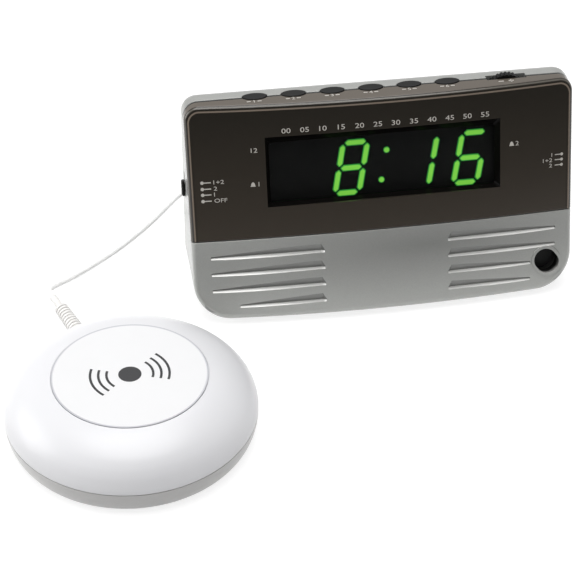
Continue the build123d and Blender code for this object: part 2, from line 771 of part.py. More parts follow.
# Tone wheel with its axle in the potentiometer
with BuildPart() as tone_wheel:
    with BuildSketch(upright(SEAM_TOP_Y - WHEEL_T / 2, WHEEL_X, WHEEL_Z)):
        Circle(WHEEL_R)
        with PolarLocations(WHEEL_R, WHEEL_NOTCHES):
            RegularPolygon(WHEEL_NOTCH_R, NOTCH_SIDES, mode=Mode.SUBTRACT)
    extrude(amount=WHEEL_T)
    with BuildSketch(upright(SEAM_TOP_Y, WHEEL_X, WHEEL_Z)):
        Circle(WHEEL_AXLE_R)
    extrude(amount=WHEEL_T / 2 + SLOT_CLEAR + POT_T - TOUCH_GAP)
tone_wheel.part.label = "tone_wheel"
export_step(tone_wheel.part, "parts/tone_wheel.step")

with BuildPart() as tone_pot:
    with BuildSketch(upright(POT_Y, WHEEL_X, WHEEL_Z)):
        with Locations((0, POT_TOP)):
            Rectangle(POT_W, POT_H, align=(Align.CENTER, Align.MAX))
        Circle(WHEEL_AXLE_R + RUN_FIT, mode=Mode.SUBTRACT)
    extrude(amount=POT_T)
tone_pot.part.label = "tone_pot"
export_step(tone_pot.part, "parts/tone_pot.step")

# Slide switches: a ribbed knob outside and a body inside each side wall
SLIDES = (
    ("mode_knob", "mode_switch", -1, MODE_V, MODE_SLOT_V, MODE_SLOT_L),
    ("alarm_knob", "alarm_switch", 1, ALARM_V, ALARM_V, ALARM_SLOT_L),
)
for knob_name, body_name, side, knob_v, slot_v, slot_l in SLIDES:
    skin = Plane(
        origin=on_face(side * CASE_W / 2, knob_v, -SLIDE_DEPTH), x_dir=RISE, z_dir=ACROSS * side
    )
    inside = Plane(
        origin=on_face(side * (CASE_W / 2 - WALL), slot_v, -SLIDE_DEPTH),
        x_dir=RISE,
        z_dir=ACROSS * -side,
    )
    with BuildPart() as knob:
        with BuildSketch(skin.offset(TOUCH_GAP)):
            RectangleRounded(KNOB_L, KNOB_W, KNOB_W / 4)
        extrude(amount=KNOB_RISE)
        fillet(knob.faces().sort_by(Axis(FACE_ORIGIN, ACROSS * side))[-1].edges(), KNOB_EDGE)
        with BuildSketch(skin.offset(TOUCH_GAP + KNOB_RISE)):
            with GridLocations(KNOB_L / (KNOB_RIBS + 1), 0, KNOB_RIBS, 1):
                Rectangle(KNOB_RIB, KNOB_W)
        extrude(amount=-KNOB_RIB, mode=Mode.SUBTRACT)
        with BuildSketch(skin.offset(TOUCH_GAP)):
            Rectangle(STEM_L, STEM_W)
        extrude(amount=-TOUCH_GAP - WALL - STEM_IN)
    knob.part.label = knob_name
    export_step(knob.part, f"parts/{knob_name}.step")
    with BuildPart() as switch_body:
        with BuildSketch(inside):
            Rectangle(slot_l + 2 * SWITCH_END, SWITCH_W)
        extrude(amount=SWITCH_T)
        with BuildSketch(inside):
            Rectangle(slot_l, STEM_W + 2 * STEM_CLEAR)
        extrude(amount=STEM_IN + STEM_CLEAR, mode=Mode.SUBTRACT)
    switch_body.part.label = body_name
    export_step(switch_body.part, f"parts/{body_name}.step")

# Siren on the end of the sound port's tube
with BuildPart() as siren:
    with BuildSketch(FACE.offset(-PORT_TUBE)):
        with Locations((CASE_W / 2 - SIREN_SIDE, SIREN_V)):
            Circle(SIREN_R)
    extrude(amount=-SIREN_T)
siren.part.label = "siren"
export_step(siren.part, "parts/siren.step")

# Power inlet with its centre pin, and the shaker's socket
with BuildPart() as power_inlet:
    with BuildSketch(upright(REAR_IN_Y, INLET_X, SOCKET_Z)):
        Rectangle(INLET_W, INLET_W)
    extrude(amount=-INLET_L)
    with BuildSketch(upright(REAR_IN_Y, INLET_X, SOCKET_Z)):
        Circle(INLET_COLLAR_R)
    extrude(amount=WALL)
    with BuildSketch(upright(CASE_D, INLET_X, SOCKET_Z)):
        Circle(INLET_BORE_R)
        Circle(INLET_PIN_R, mode=Mode.SUBTRACT)
    extrude(amount=-INLET_BORE_L, mode=Mode.SUBTRACT)
power_inlet.part.label = "power_inlet"
export_step(power_inlet.part, "parts/power_inlet.step")

with BuildPart() as shaker_jack:
    with BuildSketch(upright(REAR_IN_Y, JACK_X, SOCKET_Z)):
        Rectangle(JACK_W, JACK_W)
    extrude(amount=-JACK_L)
    with BuildSketch(upright(REAR_IN_Y, JACK_X, SOCKET_Z)):
        Circle(JACK_COLLAR_R)
    extrude(amount=WALL)
    with BuildSketch(upright(CASE_D, JACK_X, SOCKET_Z)):
        Circle(JACK_BORE_R)
    extrude(amount=-PLUG_PIN_L - TOUCH_GAP, mode=Mode.SUBTRACT)
shaker_jack.part.label = "shaker_jack"
export_step(shaker_jack.part, "parts/shaker_jack.step")

# Battery bay behind its hinged door, with the two snap studs at one end
with BuildPart() as battery_bay:
    with BuildSketch(upright(REAR_IN_Y, BAY_X, BAY_Z)):
        Rectangle(BAY_W + 2 * BAY_WALL, BAY_H + 2 * BAY_WALL)
    extrude(amount=-BAY_D - BAY_WALL)
    with BuildSketch(upright(REAR_IN_Y, BAY_X, BAY_Z)):
        Rectangle(DOOR_W + 2 * BAY_FLANGE, DOOR_H + 2 * BAY_FLANGE)
    extrude(amount=-BAY_WALL)
    with BuildSketch(upright(REAR_IN_Y, BAY_X, BAY_Z)):
        Rectangle(BAY_W, BAY_H)
    extrude(amount=-BAY_D, mode=Mode.SUBTRACT)
battery_bay.part.label = "battery_bay"
export_step(battery_bay.part, "parts/battery_bay.step")

SNAP_ORIGIN = at_clock(BAY_X - BAY_W / 2, REAR_IN_Y - BAY_D / 2, BAY_Z)
SNAP_WALL = Plane(origin=SNAP_ORIGIN, x_dir=BACK, z_dir=ACROSS)

with BuildPart() as battery_snaps:
    with BuildSketch(SNAP_WALL):
        Rectangle(SNAP_H, SNAP_L)
    extrude(amount=SNAP_T)
    with BuildSketch(SNAP_WALL):
        with Locations((0, STUD_STEP), (0, -STUD_STEP)):
            Circle(STUD_R)
    extrude(amount=SNAP_T + STUD_H)
battery_snaps.part.label = "battery_snaps"
export_step(battery_snaps.part, "parts/battery_snaps.step")

with BuildPart() as battery_door:
    with BuildSketch(upright(DOOR_Y, BAY_X, BAY_Z)):
        Rectangle(DOOR_W, DOOR_H)
    extrude(amount=DOOR_T)
    with BuildSketch(upright(DOOR_Y + DOOR_T, BAY_X, BAY_Z + DOOR_H / 2 - DOOR_GRIP_H)):
        SlotOverall(DOOR_GRIP_L, DOOR_GRIP_H)
    extrude(amount=-DOOR_GRIP_DEPTH, mode=Mode.SUBTRACT)
    low_edges = battery_door.faces().sort_by(Axis.Z)[0].edges().filter_by(Axis.X)
    fillet(low_edges, DOOR_T / 2 - RUN_FIT)
    with BuildSketch(Plane(origin=at_clock(BAY_X, HINGE_Y, HINGE_Z), x_dir=BACK, z_dir=ACROSS)):
        Circle(HINGE_PIN_R)
    extrude(amount=DOOR_W / 2 + HINGE_PIN_L, both=True)
battery_door.part.label = "battery_door"
export_step(battery_door.part, "parts/battery_door.step")

# Rubber feet and case screws
with BuildPart() as rubber_feet:
    with BuildSketch(level(0)):
        with Locations((0, (FOOT_BACK_Y + FOOT_FRONT_Y) / 2)):
            with GridLocations(2 * FOOT_X, FOOT_BACK_Y - FOOT_FRONT_Y, 2, 2):
                Circle(FOOT_R)
    extrude(amount=BASE_Z + FOOT_SINK)
rubber_feet.part.label = "rubber_feet"
export_step(rubber_feet.part, "parts/rubber_feet.step")

with BuildPart() as case_screws:
    for places in (HIGH_SCREWS, LOW_SCREWS):
        seam_at = seam_y(places[0][1])
        seat_y = seam_at + SEAM_GAP + SCREW_SEAT
        with BuildSketch(upright(seam_at - SCREW_IN + TOUCH_GAP)):
            with Locations(*places):
                Circle(SCREW_R)
        extrude(amount=SCREW_IN - TOUCH_GAP + SEAM_GAP + SCREW_SEAT)
        with BuildSketch(upright(seat_y)):
            with Locations(*places):
                Circle(SCREW_HEAD_R)
        extrude(amount=SCREW_HEAD_H)
case_screws.part.label = "case_screws"
export_step(case_screws.part, "parts/case_screws.step")

# Shaker shells, turned about the puck's upright axis
SPIN = Axis((SHAKER_X, SHAKER_Y, 0), (0, 0, 1))
SHAKER_SIDE = Plane(origin=(SHAKER_X, SHAKER_Y, 0), x_dir=ACROSS, z_dir=-BACK)
BOOT_DIR = Vector(cos(radians(BOOT_ANGLE)), sin(radians(BOOT_ANGLE)), 0)
BOOT_Z = SHAKER_PART_Z + SHAKER_GAP / 2
BOOT_ORIGIN = Vector(SHAKER_X, SHAKER_Y, BOOT_Z)
BOOT_AXIS = Axis(BOOT_ORIGIN, BOOT_DIR)
DOME_Z = SHAKER_PART_Z + SHAKER_GAP
BOSS_TURN = BOOT_ANGLE + SHAKER_BOSS_TURN
LIP_OUT = RIM_R - SHAKER_WALL - LABEL_FIT


def shaker_level(z):
    """Level plane on the shaker's axis."""
    return Plane(origin=(SHAKER_X, SHAKER_Y, z), x_dir=ACROSS, z_dir=UP)


def dome(inset):
    """Upper half of the puck, drawn in by an even inset."""
    with BuildPart() as half:
        with BuildSketch(SHAKER_SIDE):
            with BuildLine():
                shoulder = EllipticalCenterArc(
                    center=(SHOULDER_R, DOME_Z),
                    x_radius=RIM_R - SHOULDER_R - inset,
                    y_radius=SHAKER_H - DOME_Z - inset,
                    start_angle=0,
                    arc_size=90,
                )
                Polyline(shoulder @ 1, (0, SHAKER_H - inset), (0, DOME_Z), shoulder @ 0)
            make_face()
        revolve(axis=SPIN)
    return half.part


def bowl(inset):
    """Lower half of the puck, drawn in by an even inset."""
    with BuildPart() as half:
        with BuildSketch(SHAKER_SIDE):
            with BuildLine():
                flank = EllipticalCenterArc(
                    center=(SOLE_R, SHAKER_PART_Z),
                    x_radius=RIM_R - SOLE_R - inset,
                    y_radius=SHAKER_PART_Z - inset,
                    start_angle=270,
                    arc_size=90,
                )
                Polyline(flank @ 1, (0, SHAKER_PART_Z), (0, inset), flank @ 0)
            make_face()
        revolve(axis=SPIN)
    return half.part


dome_block = dome(0)
dome_room = dome(SHAKER_WALL)
bowl_block = bowl(0)
bowl_room = bowl(SHAKER_WALL)

with BuildPart() as shaker_top:
    add(dome_block)
    with BuildSketch(shaker_level(SHAKER_H)):
        Circle(LABEL_R + LABEL_FIT)
    extrude(amount=-LABEL_SINK, mode=Mode.SUBTRACT)
    add(dome_room, mode=Mode.SUBTRACT)
    with BuildSketch(shaker_level(DOME_Z)):
        with PolarLocations(BOSS_RING_R, SHAKER_SCREWS, start_angle=BOSS_TURN):
            Circle(SHAKER_BOSS_R)
    extrude(until=Until.NEXT)
    with BuildSketch(shaker_level(DOME_Z)):
        with PolarLocations(BOSS_RING_R, SHAKER_SCREWS, start_angle=BOSS_TURN):
            Circle(SCREW_R + SCREW_FIT)
    extrude(amount=SCREW_IN, mode=Mode.SUBTRACT)
    with BuildSketch(Plane(origin=BOOT_ORIGIN, x_dir=UP, z_dir=BOOT_DIR)):
        Circle(BOOT_NECK_R + BOOT_CLEAR)
    extrude(amount=2 * RIM_R, mode=Mode.SUBTRACT)
shaker_top.part.label = "shaker_top"
export_step(shaker_top.part, "parts/shaker_top.step")

MOTOR_MID = MOTOR_L / 2 - MOTOR_BACK
MOTOR_SIDE = Plane(origin=(SHAKER_X, SHAKER_Y, MOTOR_Z), x_dir=BACK, z_dir=ACROSS)
CRADLES = (CRADLE_INSET - MOTOR_BACK, MOTOR_L - MOTOR_BACK - CRADLE_INSET)

with BuildPart() as shaker_base:
    add(bowl_block)
    add(bowl_room, mode=Mode.SUBTRACT)
    with BuildSketch(SHAKER_SIDE):
        with Locations((LIP_OUT - LIP_T, SHAKER_PART_Z + LIP_UP)):
            Rectangle(LIP_T, 2 * LIP_UP, align=(Align.MIN, Align.MAX))
        with Locations((LIP_OUT - LIP_T, SHAKER_PART_Z)):
            Rectangle(LIP_T + SHAKER_WALL / 2, LIP_UP, align=(Align.MIN, Align.MAX))
    revolve(axis=SPIN)
    with BuildSketch(shaker_level(SHAKER_WALL / 2)):
        with PolarLocations(BOSS_RING_R, SHAKER_SCREWS, start_angle=BOSS_TURN):
            Circle(SHAKER_BOSS_R)
    extrude(amount=SHAKER_PART_Z - SHAKER_WALL / 2)
    with BuildSketch(shaker_level(SHAKER_WALL / 2)):
        with Locations(*[(x, 0) for x in CRADLES]):
            Rectangle(CRADLE_T, CRADLE_W)
    extrude(amount=MOTOR_Z - SHAKER_WALL - MOTOR_R / 4)
    with BuildSketch(MOTOR_SIDE):
        Circle(MOTOR_R + SCREW_FIT)
    extrude(amount=RIM_R / 2, both=True, mode=Mode.SUBTRACT)
    with BuildSketch(shaker_level(0)):
        with PolarLocations(BOSS_RING_R, SHAKER_SCREWS, start_angle=BOSS_TURN):
            Circle(SCREW_R + SCREW_FIT)
    extrude(amount=SHAKER_H, mode=Mode.SUBTRACT)
    with BuildSketch(shaker_level(0)):
        with PolarLocations(BOSS_RING_R, SHAKER_SCREWS, start_angle=BOSS_TURN):
            Circle(SCREW_HEAD_R + TOUCH_GAP)
    extrude(amount=SHAKER_SCREW_SEAT, mode=Mode.SUBTRACT)
    with BuildSketch(Plane(origin=BOOT_ORIGIN, x_dir=UP, z_dir=BOOT_DIR)):
        Circle(BOOT_NECK_R + BOOT_CLEAR)
    extrude(amount=2 * RIM_R, mode=Mode.SUBTRACT)
shaker_base.part.label = "shaker_base"
export_step(shaker_base.part, "parts/shaker_base.step")

with BuildPart() as shaker_label:
    with BuildSketch(shaker_level(SHAKER_H - LABEL_SINK)):
        Circle(LABEL_R)
    extrude(amount=LABEL_T)
shaker_label.part.label = "shaker_label"
export_step(shaker_label.part, "parts/shaker_label.step")

with BuildPart() as shaker_screws:
    with BuildSketch(shaker_level(SHAKER_SCREW_SEAT)):
        with PolarLocations(BOSS_RING_R, SHAKER_SCREWS, start_angle=BOSS_TURN):
            Circle(SCREW_R)
    extrude(amount=DOME_Z + SCREW_IN - TOUCH_GAP - SHAKER_SCREW_SEAT)
    with BuildSketch(shaker_level(SHAKER_SCREW_SEAT)):
        with PolarLocations(BOSS_RING_R, SHAKER_SCREWS, start_angle=BOSS_TURN):
            Circle(SCREW_HEAD_R)
    extrude(amount=-SCREW_HEAD_H)
shaker_screws.part.label = "shaker_screws"
export_step(shaker_screws.part, "parts/shaker_screws.step")

# Motor in its cradles under a strap, with the off-centre weight on its shaft
MOTOR_FRONT = MOTOR_L - MOTOR_BACK
NOSE_END = MOTOR_FRONT + MOTOR_NOSE_L

with BuildPart() as shaker_motor:
    with BuildSketch(MOTOR_SIDE.offset(-MOTOR_BACK)):
        Circle(MOTOR_R)
    extrude(amount=MOTOR_L)
    with BuildSketch(MOTOR_SIDE.offset(MOTOR_FRONT)):
        Circle(MOTOR_NOSE_R)
    extrude(amount=MOTOR_NOSE_L)
    with BuildSketch(MOTOR_SIDE.offset(MOTOR_FRONT - MOTOR_NOSE_L)):
        Circle(SHAFT_R + RUN_FIT)
    extrude(amount=2 * MOTOR_NOSE_L, mode=Mode.SUBTRACT)
shaker_motor.part.label = "shaker_motor"
export_step(shaker_motor.part, "parts/shaker_motor.step")

with BuildPart() as motor_strap:
    with BuildSketch(MOTOR_SIDE.offset(MOTOR_MID - STRAP_L / 2)):
        Circle(MOTOR_R + SCREW_FIT + STRAP_T)
        Rectangle(
            2 * (MOTOR_R + SCREW_FIT + STRAP_T),
            MOTOR_Z - SHAKER_WALL,
            align=(Align.CENTER, Align.MAX),
        )
        with Locations((0, SHAKER_WALL - MOTOR_Z)):
            Rectangle(
                2 * (MOTOR_R + SCREW_FIT + STRAP_T + EAR_L), STRAP_T, align=(Align.CENTER, Align.MIN)
            )
        Circle(MOTOR_R + SCREW_FIT, mode=Mode.SUBTRACT)
        Rectangle(
            2 * (MOTOR_R + SCREW_FIT), 2 * SHAKER_H, align=(Align.CENTER, Align.MAX), mode=Mode.SUBTRACT
        )
    extrude(amount=STRAP_L)
motor_strap.part.label = "motor_strap"
export_step(motor_strap.part, "parts/motor_strap.step")

with BuildPart() as shaker_weight:
    with BuildSketch(MOTOR_SIDE.offset(MOTOR_FRONT - MOTOR_NOSE_L + TOUCH_GAP)):
        Circle(SHAFT_R)
    extrude(amount=SHAFT_L)
    with BuildSketch(MOTOR_SIDE.offset(NOSE_END + WEIGHT_AT - MOTOR_NOSE_L)):
        Circle(WEIGHT_R)
        Rectangle(2 * WEIGHT_R, WEIGHT_R, align=(Align.CENTER, Align.MIN), mode=Mode.SUBTRACT)
        Circle(WEIGHT_HUB_R)
    extrude(amount=WEIGHT_T)
shaker_weight.part.label = "shaker_weight"
export_step(shaker_weight.part, "parts/shaker_weight.step")

# Ribbed strain relief, turned about the line that the cord leaves on
FLANGE_END = LIP_OUT - LIP_T - BOOT_FLANGE_R * BOOT_FLANGE_R / RIM_R
RIB_START = RIM_R + BOOT_RIB_PITCH - BOOT_RIB_T
BOOT_END = RIB_START + BOOT_RIBS * BOOT_RIB_PITCH
BOOT_TIP = BOOT_END + BOOT_NOSE_L

with BuildPart() as strain_relief:
    with BuildSketch(Plane(origin=BOOT_ORIGIN, x_dir=BOOT_DIR, z_dir=UP)):
        with BuildLine():
            Polyline(
                (FLANGE_END - BOOT_FLANGE_T, 0),
                (FLANGE_END - BOOT_FLANGE_T, BOOT_FLANGE_R),
                (FLANGE_END, BOOT_FLANGE_R),
                (FLANGE_END, BOOT_NECK_R),
                (RIB_START, BOOT_NECK_R),
                (RIB_START, BOOT_ROOT_R),
                (BOOT_END, BOOT_END_R),
                (BOOT_TIP, BOOT_END_R),
                (BOOT_TIP, 0),
                close=True,
            )
        make_face()
        for rib in range(BOOT_RIBS):
            with Locations((RIB_START + rib * BOOT_RIB_PITCH, 0)):
                Rectangle(
                    BOOT_RIB_T,
                    BOOT_R - BOOT_TAPER * rib / BOOT_RIBS,
                    align=(Align.MIN, Align.MIN),
                )
    revolve(axis=BOOT_AXIS)
strain_relief.part.label = "strain_relief"
export_step(strain_relief.part, "parts/strain_relief.step")

# Cord: over the table from the shaker, round behind the clock, into the coil, then
# on to the plug in the clock's back
CORD_Z = CORD_R + FLOOR_GAP
COIL_Z = COIL_LIFT + CORD_R
COIL_TOP_Z = COIL_Z + (COIL_LAYERS - 1) * COIL_LAYER
TIP = BOOT_ORIGIN + BOOT_DIR * BOOT_TIP

# Coil: layers of half turns that step in, climb, step out, and so on
with BuildPart() as cord_coil:
    with BuildLine() as coil_path:
        spot = at_clock(COIL_X, COIL_Y + COIL_R, COIL_Z)
        Line(spot - ACROSS * (2 * CORD_R), spot)
        side = 1
        turn_r = COIL_R
        for layer in range(COIL_LAYERS):
            step = -COIL_PITCH / 2 if layer % 2 == 0 else COIL_PITCH / 2
            last_layer = layer == COIL_LAYERS - 1
            for turn in range(HALF_TURNS - 1 if last_layer else HALF_TURNS):
                far_side = spot + ACROSS * (side * turn_r) - BACK * (side * turn_r)
                finish = spot - BACK * (2 * side * turn_r)
                ThreePointArc(spot, far_side, finish)
                spot = finish
                side = -side
                turn_r = turn_r + step
            if not last_layer:
                swell = sqrt(turn_r * turn_r + COIL_LAYER * COIL_LAYER / 4)
                middle = spot + ACROSS * (side * swell) - BACK * (side * turn_r) + UP * (COIL_LAYER / 2)
                finish = spot - BACK * (2 * side * turn_r) + UP * COIL_LAYER
                climb = TangentArc(spot, middle, tangent=ACROSS * side)
                TangentArc(middle, finish, tangent=climb % 1)
                spot = finish
                side = -side
                turn_r = turn_r - step
        finish = spot + ACROSS * (side * turn_r) - BACK * (side * turn_r)
        TangentArc(spot, finish, tangent=ACROSS * side)
        Line(finish, finish - BACK * (2 * CORD_R))
    winding = coil_path.wires()[0]
    with BuildSketch(Plane(origin=winding @ 0, z_dir=winding % 0)) as coil_section:
        RegularPolygon(CORD_R, CORD_SIDES)
    sweep(path=winding)
cord_coil.part.label = "cord_coil"
export_step(cord_coil.part, "parts/cord_coil.step")

SAMPLES = 1600
SKIP = int(4 * CORD_R * SAMPLES / winding.length) + 2
spots = [tuple(winding @ (i / SAMPLES)) for i in range(SAMPLES + 1)]
nearest = min(
    dist(spots[i], spots[j]) for i in range(len(spots)) for j in range(i + SKIP, len(spots))
)
print("cord_coil length", round(winding.length, 1), "end", winding @ 1)
print("cord_coil least gap to itself", round(nearest - 2 * CORD_R, 2))
print("cord_coil volume", round(cord_coil.part.volume, 1))
print("cord_coil section times length", round(coil_section.sketch.area * winding.length, 1))

LEAD_ROUTE = [
    TIP,
    TIP + BOOT_DIR * BOOT_RUN,
    at_clock(-158.4, 26.1, 10.6),
    at_clock(-156.0, 33.4, 6.8),
    at_clock(-150.9, 41.6, 2.8),
    at_clock(-143.0, 49.2, CORD_Z),
    at_clock(-134.0, 56.4, CORD_Z),
    at_clock(-125.0, 64.1, CORD_Z),
    at_clock(-116.2, 72.7, CORD_Z),
    at_clock(-107.2, 82.6, CORD_Z),
    at_clock(-98.7, 93.1, CORD_Z),
    at_clock(-90.8, 104.1, CORD_Z),
    at_clock(-82.0, 114.2, CORD_Z),
    at_clock(-71.6, 122.6, CORD_Z),
    at_clock(-59.8, 128.4, CORD_Z + COIL_LIFT / 2),
    at_clock(COIL_X - 2 * CORD_R - COIL_RUN, COIL_Y + COIL_R, COIL_Z),
    at_clock(COIL_X - 2 * CORD_R, COIL_Y + COIL_R, COIL_Z),
]
PLUG_END_Y = CASE_D + TOUCH_GAP + PLUG_L + PLUG_TAIL_L
COIL_END = winding @ 1
TAIL_ROUTE = [
    COIL_END,
    COIL_END - BACK * TAIL_RUN,
    at_clock(JACK_X, PLUG_END_Y + TAIL_RUN, SOCKET_Z),
    at_clock(JACK_X, PLUG_END_Y, SOCKET_Z),
]


def bend_radii(route):
    """Largest even bends for a route: a share of the shorter run over the half turn's tangent."""
    radii = []
    for before, here, after in zip(route, route[1:], route[2:]):
        run_in = here - before
        run_out = after - here
        half_turn = radians(run_in.get_angle(run_out)) / 2
        radii.append(BEND_SHARE * min(run_in.length, run_out.length) / tan(half_turn))
    return radii


for cord_name, route in (("cord_lead", LEAD_ROUTE), ("cord_tail", TAIL_ROUTE)):
    radii = bend_radii(route)
    with BuildPart() as cord:
        with BuildLine() as cord_path:
            FilletPolyline(*route, radius=radii)
        path = cord_path.wires()[0]
        with BuildSketch(Plane(origin=path @ 0, z_dir=path % 0)) as cord_section:
            RegularPolygon(CORD_R, CORD_SIDES)
        sweep(path=path)
    print(cord_name, "bend radii", [round(radius, 1) for radius in radii])
    print(cord_name, "length", round(path.length, 1))
    print(cord_name, "volume", round(cord.part.volume, 1))
    print(cord_name, "section times length", round(cord_section.sketch.area * path.length, 1))
    cord.part.label = cord_name
    export_step(cord.part, f"parts/{cord_name}.step")

# Tie round the coil's bundle, on the side towards the shaker
TIE_OUT = COIL_R + COIL_PITCH / 2 + CORD_R + TIE_CLEAR
TIE_IN = COIL_R - (HALF_TURNS + 1) * COIL_PITCH / 2 - CORD_R - TIE_CLEAR
TIE_HIGH = COIL_TOP_Z + CORD_R + TIE_CLEAR
TIE_LOW = COIL_LIFT - TIE_CLEAR

with BuildPart() as coil_tie:
    with BuildSketch(upright(COIL_Y - TIE_W / 2, COIL_X, (TIE_HIGH + TIE_LOW) / 2)):
        with Locations(((TIE_OUT + TIE_IN) / 2, 0)):
            RectangleRounded(TIE_OUT - TIE_IN + 2 * TIE_T, TIE_HIGH - TIE_LOW + 2 * TIE_T, 2 * TIE_T)
            RectangleRounded(TIE_OUT - TIE_IN, TIE_HIGH - TIE_LOW, TIE_T, mode=Mode.SUBTRACT)
    extrude(amount=TIE_W)
coil_tie.part.label = "coil_tie"
export_step(coil_tie.part, "parts/coil_tie.step")

# Plug of the shaker's cord, with its pin in the socket
with BuildPart() as shaker_plug:
    with BuildSketch(upright(CASE_D + TOUCH_GAP - PLUG_PIN_L, JACK_X, SOCKET_Z)):
        Circle(PLUG_PIN_R)
    extrude(amount=PLUG_PIN_L)
    fillet(shaker_plug.faces().sort_by(Axis.Y)[0].edges(), PLUG_EDGE)
    with BuildSketch(upright(CASE_D + TOUCH_GAP, JACK_X, SOCKET_Z)):
        Circle(PLUG_R)
    extrude(amount=PLUG_L)
    with BuildSketch(upright(CASE_D + TOUCH_GAP + PLUG_L, JACK_X, SOCKET_Z)):
        Circle(PLUG_R - PLUG_EDGE)
    with BuildSketch(upright(PLUG_END_Y, JACK_X, SOCKET_Z)):
        Circle(PLUG_TAIL_R)
    loft()
shaker_plug.part.label = "shaker_plug"
export_step(shaker_plug.part, "parts/shaker_plug.step")
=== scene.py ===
"""Bed shaker alarm clock: finishes, prints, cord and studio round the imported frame.

Sizes are written in millimetres and turned to metres with MM. The clock faces -Y, +Z is up.
"""
import logging
import math
from collections.abc import Callable, Iterable, Sequence
from dataclasses import dataclass, replace
from enum import Enum
from typing import Any

import bmesh
import bpy
from mathutils import Matrix, Vector


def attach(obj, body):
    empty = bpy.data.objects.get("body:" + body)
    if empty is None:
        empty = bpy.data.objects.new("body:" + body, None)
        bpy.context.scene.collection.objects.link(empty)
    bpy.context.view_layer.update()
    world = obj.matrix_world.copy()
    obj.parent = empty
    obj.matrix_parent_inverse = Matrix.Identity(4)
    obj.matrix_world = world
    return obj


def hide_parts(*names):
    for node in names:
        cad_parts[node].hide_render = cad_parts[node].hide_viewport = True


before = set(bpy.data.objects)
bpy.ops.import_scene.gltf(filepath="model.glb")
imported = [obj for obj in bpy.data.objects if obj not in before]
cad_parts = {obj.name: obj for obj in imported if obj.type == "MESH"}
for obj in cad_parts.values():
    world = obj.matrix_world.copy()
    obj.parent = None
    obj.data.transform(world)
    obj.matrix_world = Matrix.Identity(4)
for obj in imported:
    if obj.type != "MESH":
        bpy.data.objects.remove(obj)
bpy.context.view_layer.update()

LOG = logging.getLogger("bed_shaker_clock")
MM = 0.001
# Where the foot of the clock's face stands
CLOCK_X = 45.05
CLOCK_Y = 35.7

# What the functions take and give
Tree = bpy.types.NodeTree
Socket = bpy.types.NodeSocket
BMesh = bmesh.types.BMesh
Inputs = dict[str | int, Any]
Outline = list[tuple[float, float]]
Placer = Callable[[float, float, float], Vector]

# Settings of a node that mixes colours
RGBA = {"data_type": "RGBA"}


def linear(code: str) -> tuple[float, float, float, float]:
    """Turns an sRGB hex colour into linear light.

    Args:
        code: colour such as "#27241f".

    Returns:
        Red, green, blue and an alpha of 1.
    """
    channels = [int(code[i:i + 2], 16) / 255 for i in (1, 3, 5)]
    red, green, blue = [c / 12.92 if c <= 0.04045 else ((c + 0.055) / 1.055) ** 2.4 for c in channels]
    return (red, green, blue, 1.0)


def add_node(
    tree: Tree,
    kind: str,
    settings: dict[str, Any] | None = None,
    inputs: Inputs | None = None,
    stops: Sequence[tuple[float, str, float]] = (),
) -> bpy.types.Node:
    """Adds a node with its settings, values and links.

    Args:
        tree: node tree that takes the node.
        kind: the node's type, without the word ShaderNode that all begin with.
        settings: properties of the node.
        inputs: a value, an output or a node with its first output for each input, by name or number.
        stops: position, hex colour and alpha of each stop of a colour ramp.

    Returns:
        The new node.
    """
    node = tree.nodes.new(f"ShaderNode{kind}")
    for name, value in (settings or {}).items():
        setattr(node, name, value)
    for name, value in (inputs or {}).items():
        value = value.outputs[0] if isinstance(value, bpy.types.Node) else value
        if isinstance(value, Socket):
            tree.links.new(value, node.inputs[name])
        else:
            node.inputs[name].default_value = value
    for i, (position, code, alpha) in enumerate(stops):
        stop = node.color_ramp.elements[i] if i < 2 else node.color_ramp.elements.new(position)
        stop.position = position
        stop.color = (*linear(code)[:3], alpha)
    return node


class Align(Enum):
    """Which end of a printed row stands at its place."""

    LEFT = 0.0
    CENTRE = 0.5
    RIGHT = 1.0


@dataclass(frozen=True)
class LeaningFace:
    """The clock's bowed face in its own axes: u across, v up along it, w outwards.

    Attributes:
        foot_z: height of its foot.
        lean: how far it leans back.
        half_width: half its width.
        bulge: how far its middle stands out.
    """

    foot_z: float = 3.0
    lean: float = math.atan2(32.0, 98.6)
    half_width: float = 91.5
    bulge: float = 4.65

    def bow(self, u: float) -> float:
        """Height of the bowed skin over the flat plane at u."""
        radius = (self.half_width ** 2 + self.bulge ** 2) / (2 * self.bulge)
        return math.sqrt(radius ** 2 - u ** 2) - radius + self.bulge

    def flat(self, u: float, v: float, w: float) -> Vector:
        """Finds a point from the flat plane of the face.

        Args:
            u: place across.
            v: place up along the plane.
            w: distance out of it.

        Returns:
            The point, in metres.
        """
        y = CLOCK_Y + v * math.sin(self.lean) - w * math.cos(self.lean)
        z = self.foot_z + v * math.cos(self.lean) + w * math.sin(self.lean)
        return Vector((CLOCK_X + u, y, z)) * MM

    def skin(self, u: float, v: float, lift: float) -> Vector:
        """Point at u and v, lifted off the bowed skin, in metres."""
        return self.flat(u, v, self.bow(u) + lift)


FACE = LeaningFace()


def on_face(
    tree: Tree,
    place: Socket,
    middle: tuple[float, float] = (0.0, 0.0),
    scale: Sequence[float] = (1.0, 1.0, 1.0),
) -> Socket:
    """Adds the place along the leaning face's axes: across, into the clock, up.

    Args:
        tree: the material's node tree.
        place: socket with the place on the object, in metres.
        middle: place across and up that counts as zero, in millimetres.
        scale: size that counts as one, for each axis.

    Returns:
        The socket with the place.
    """
    return add_node(
        tree,
        "Mapping",
        {"vector_type": "TEXTURE"},
        {"Vector": place, "Location": FACE.flat(*middle, 0), "Rotation": (-FACE.lean, 0, 0), "Scale": scale},
    ).outputs[0]


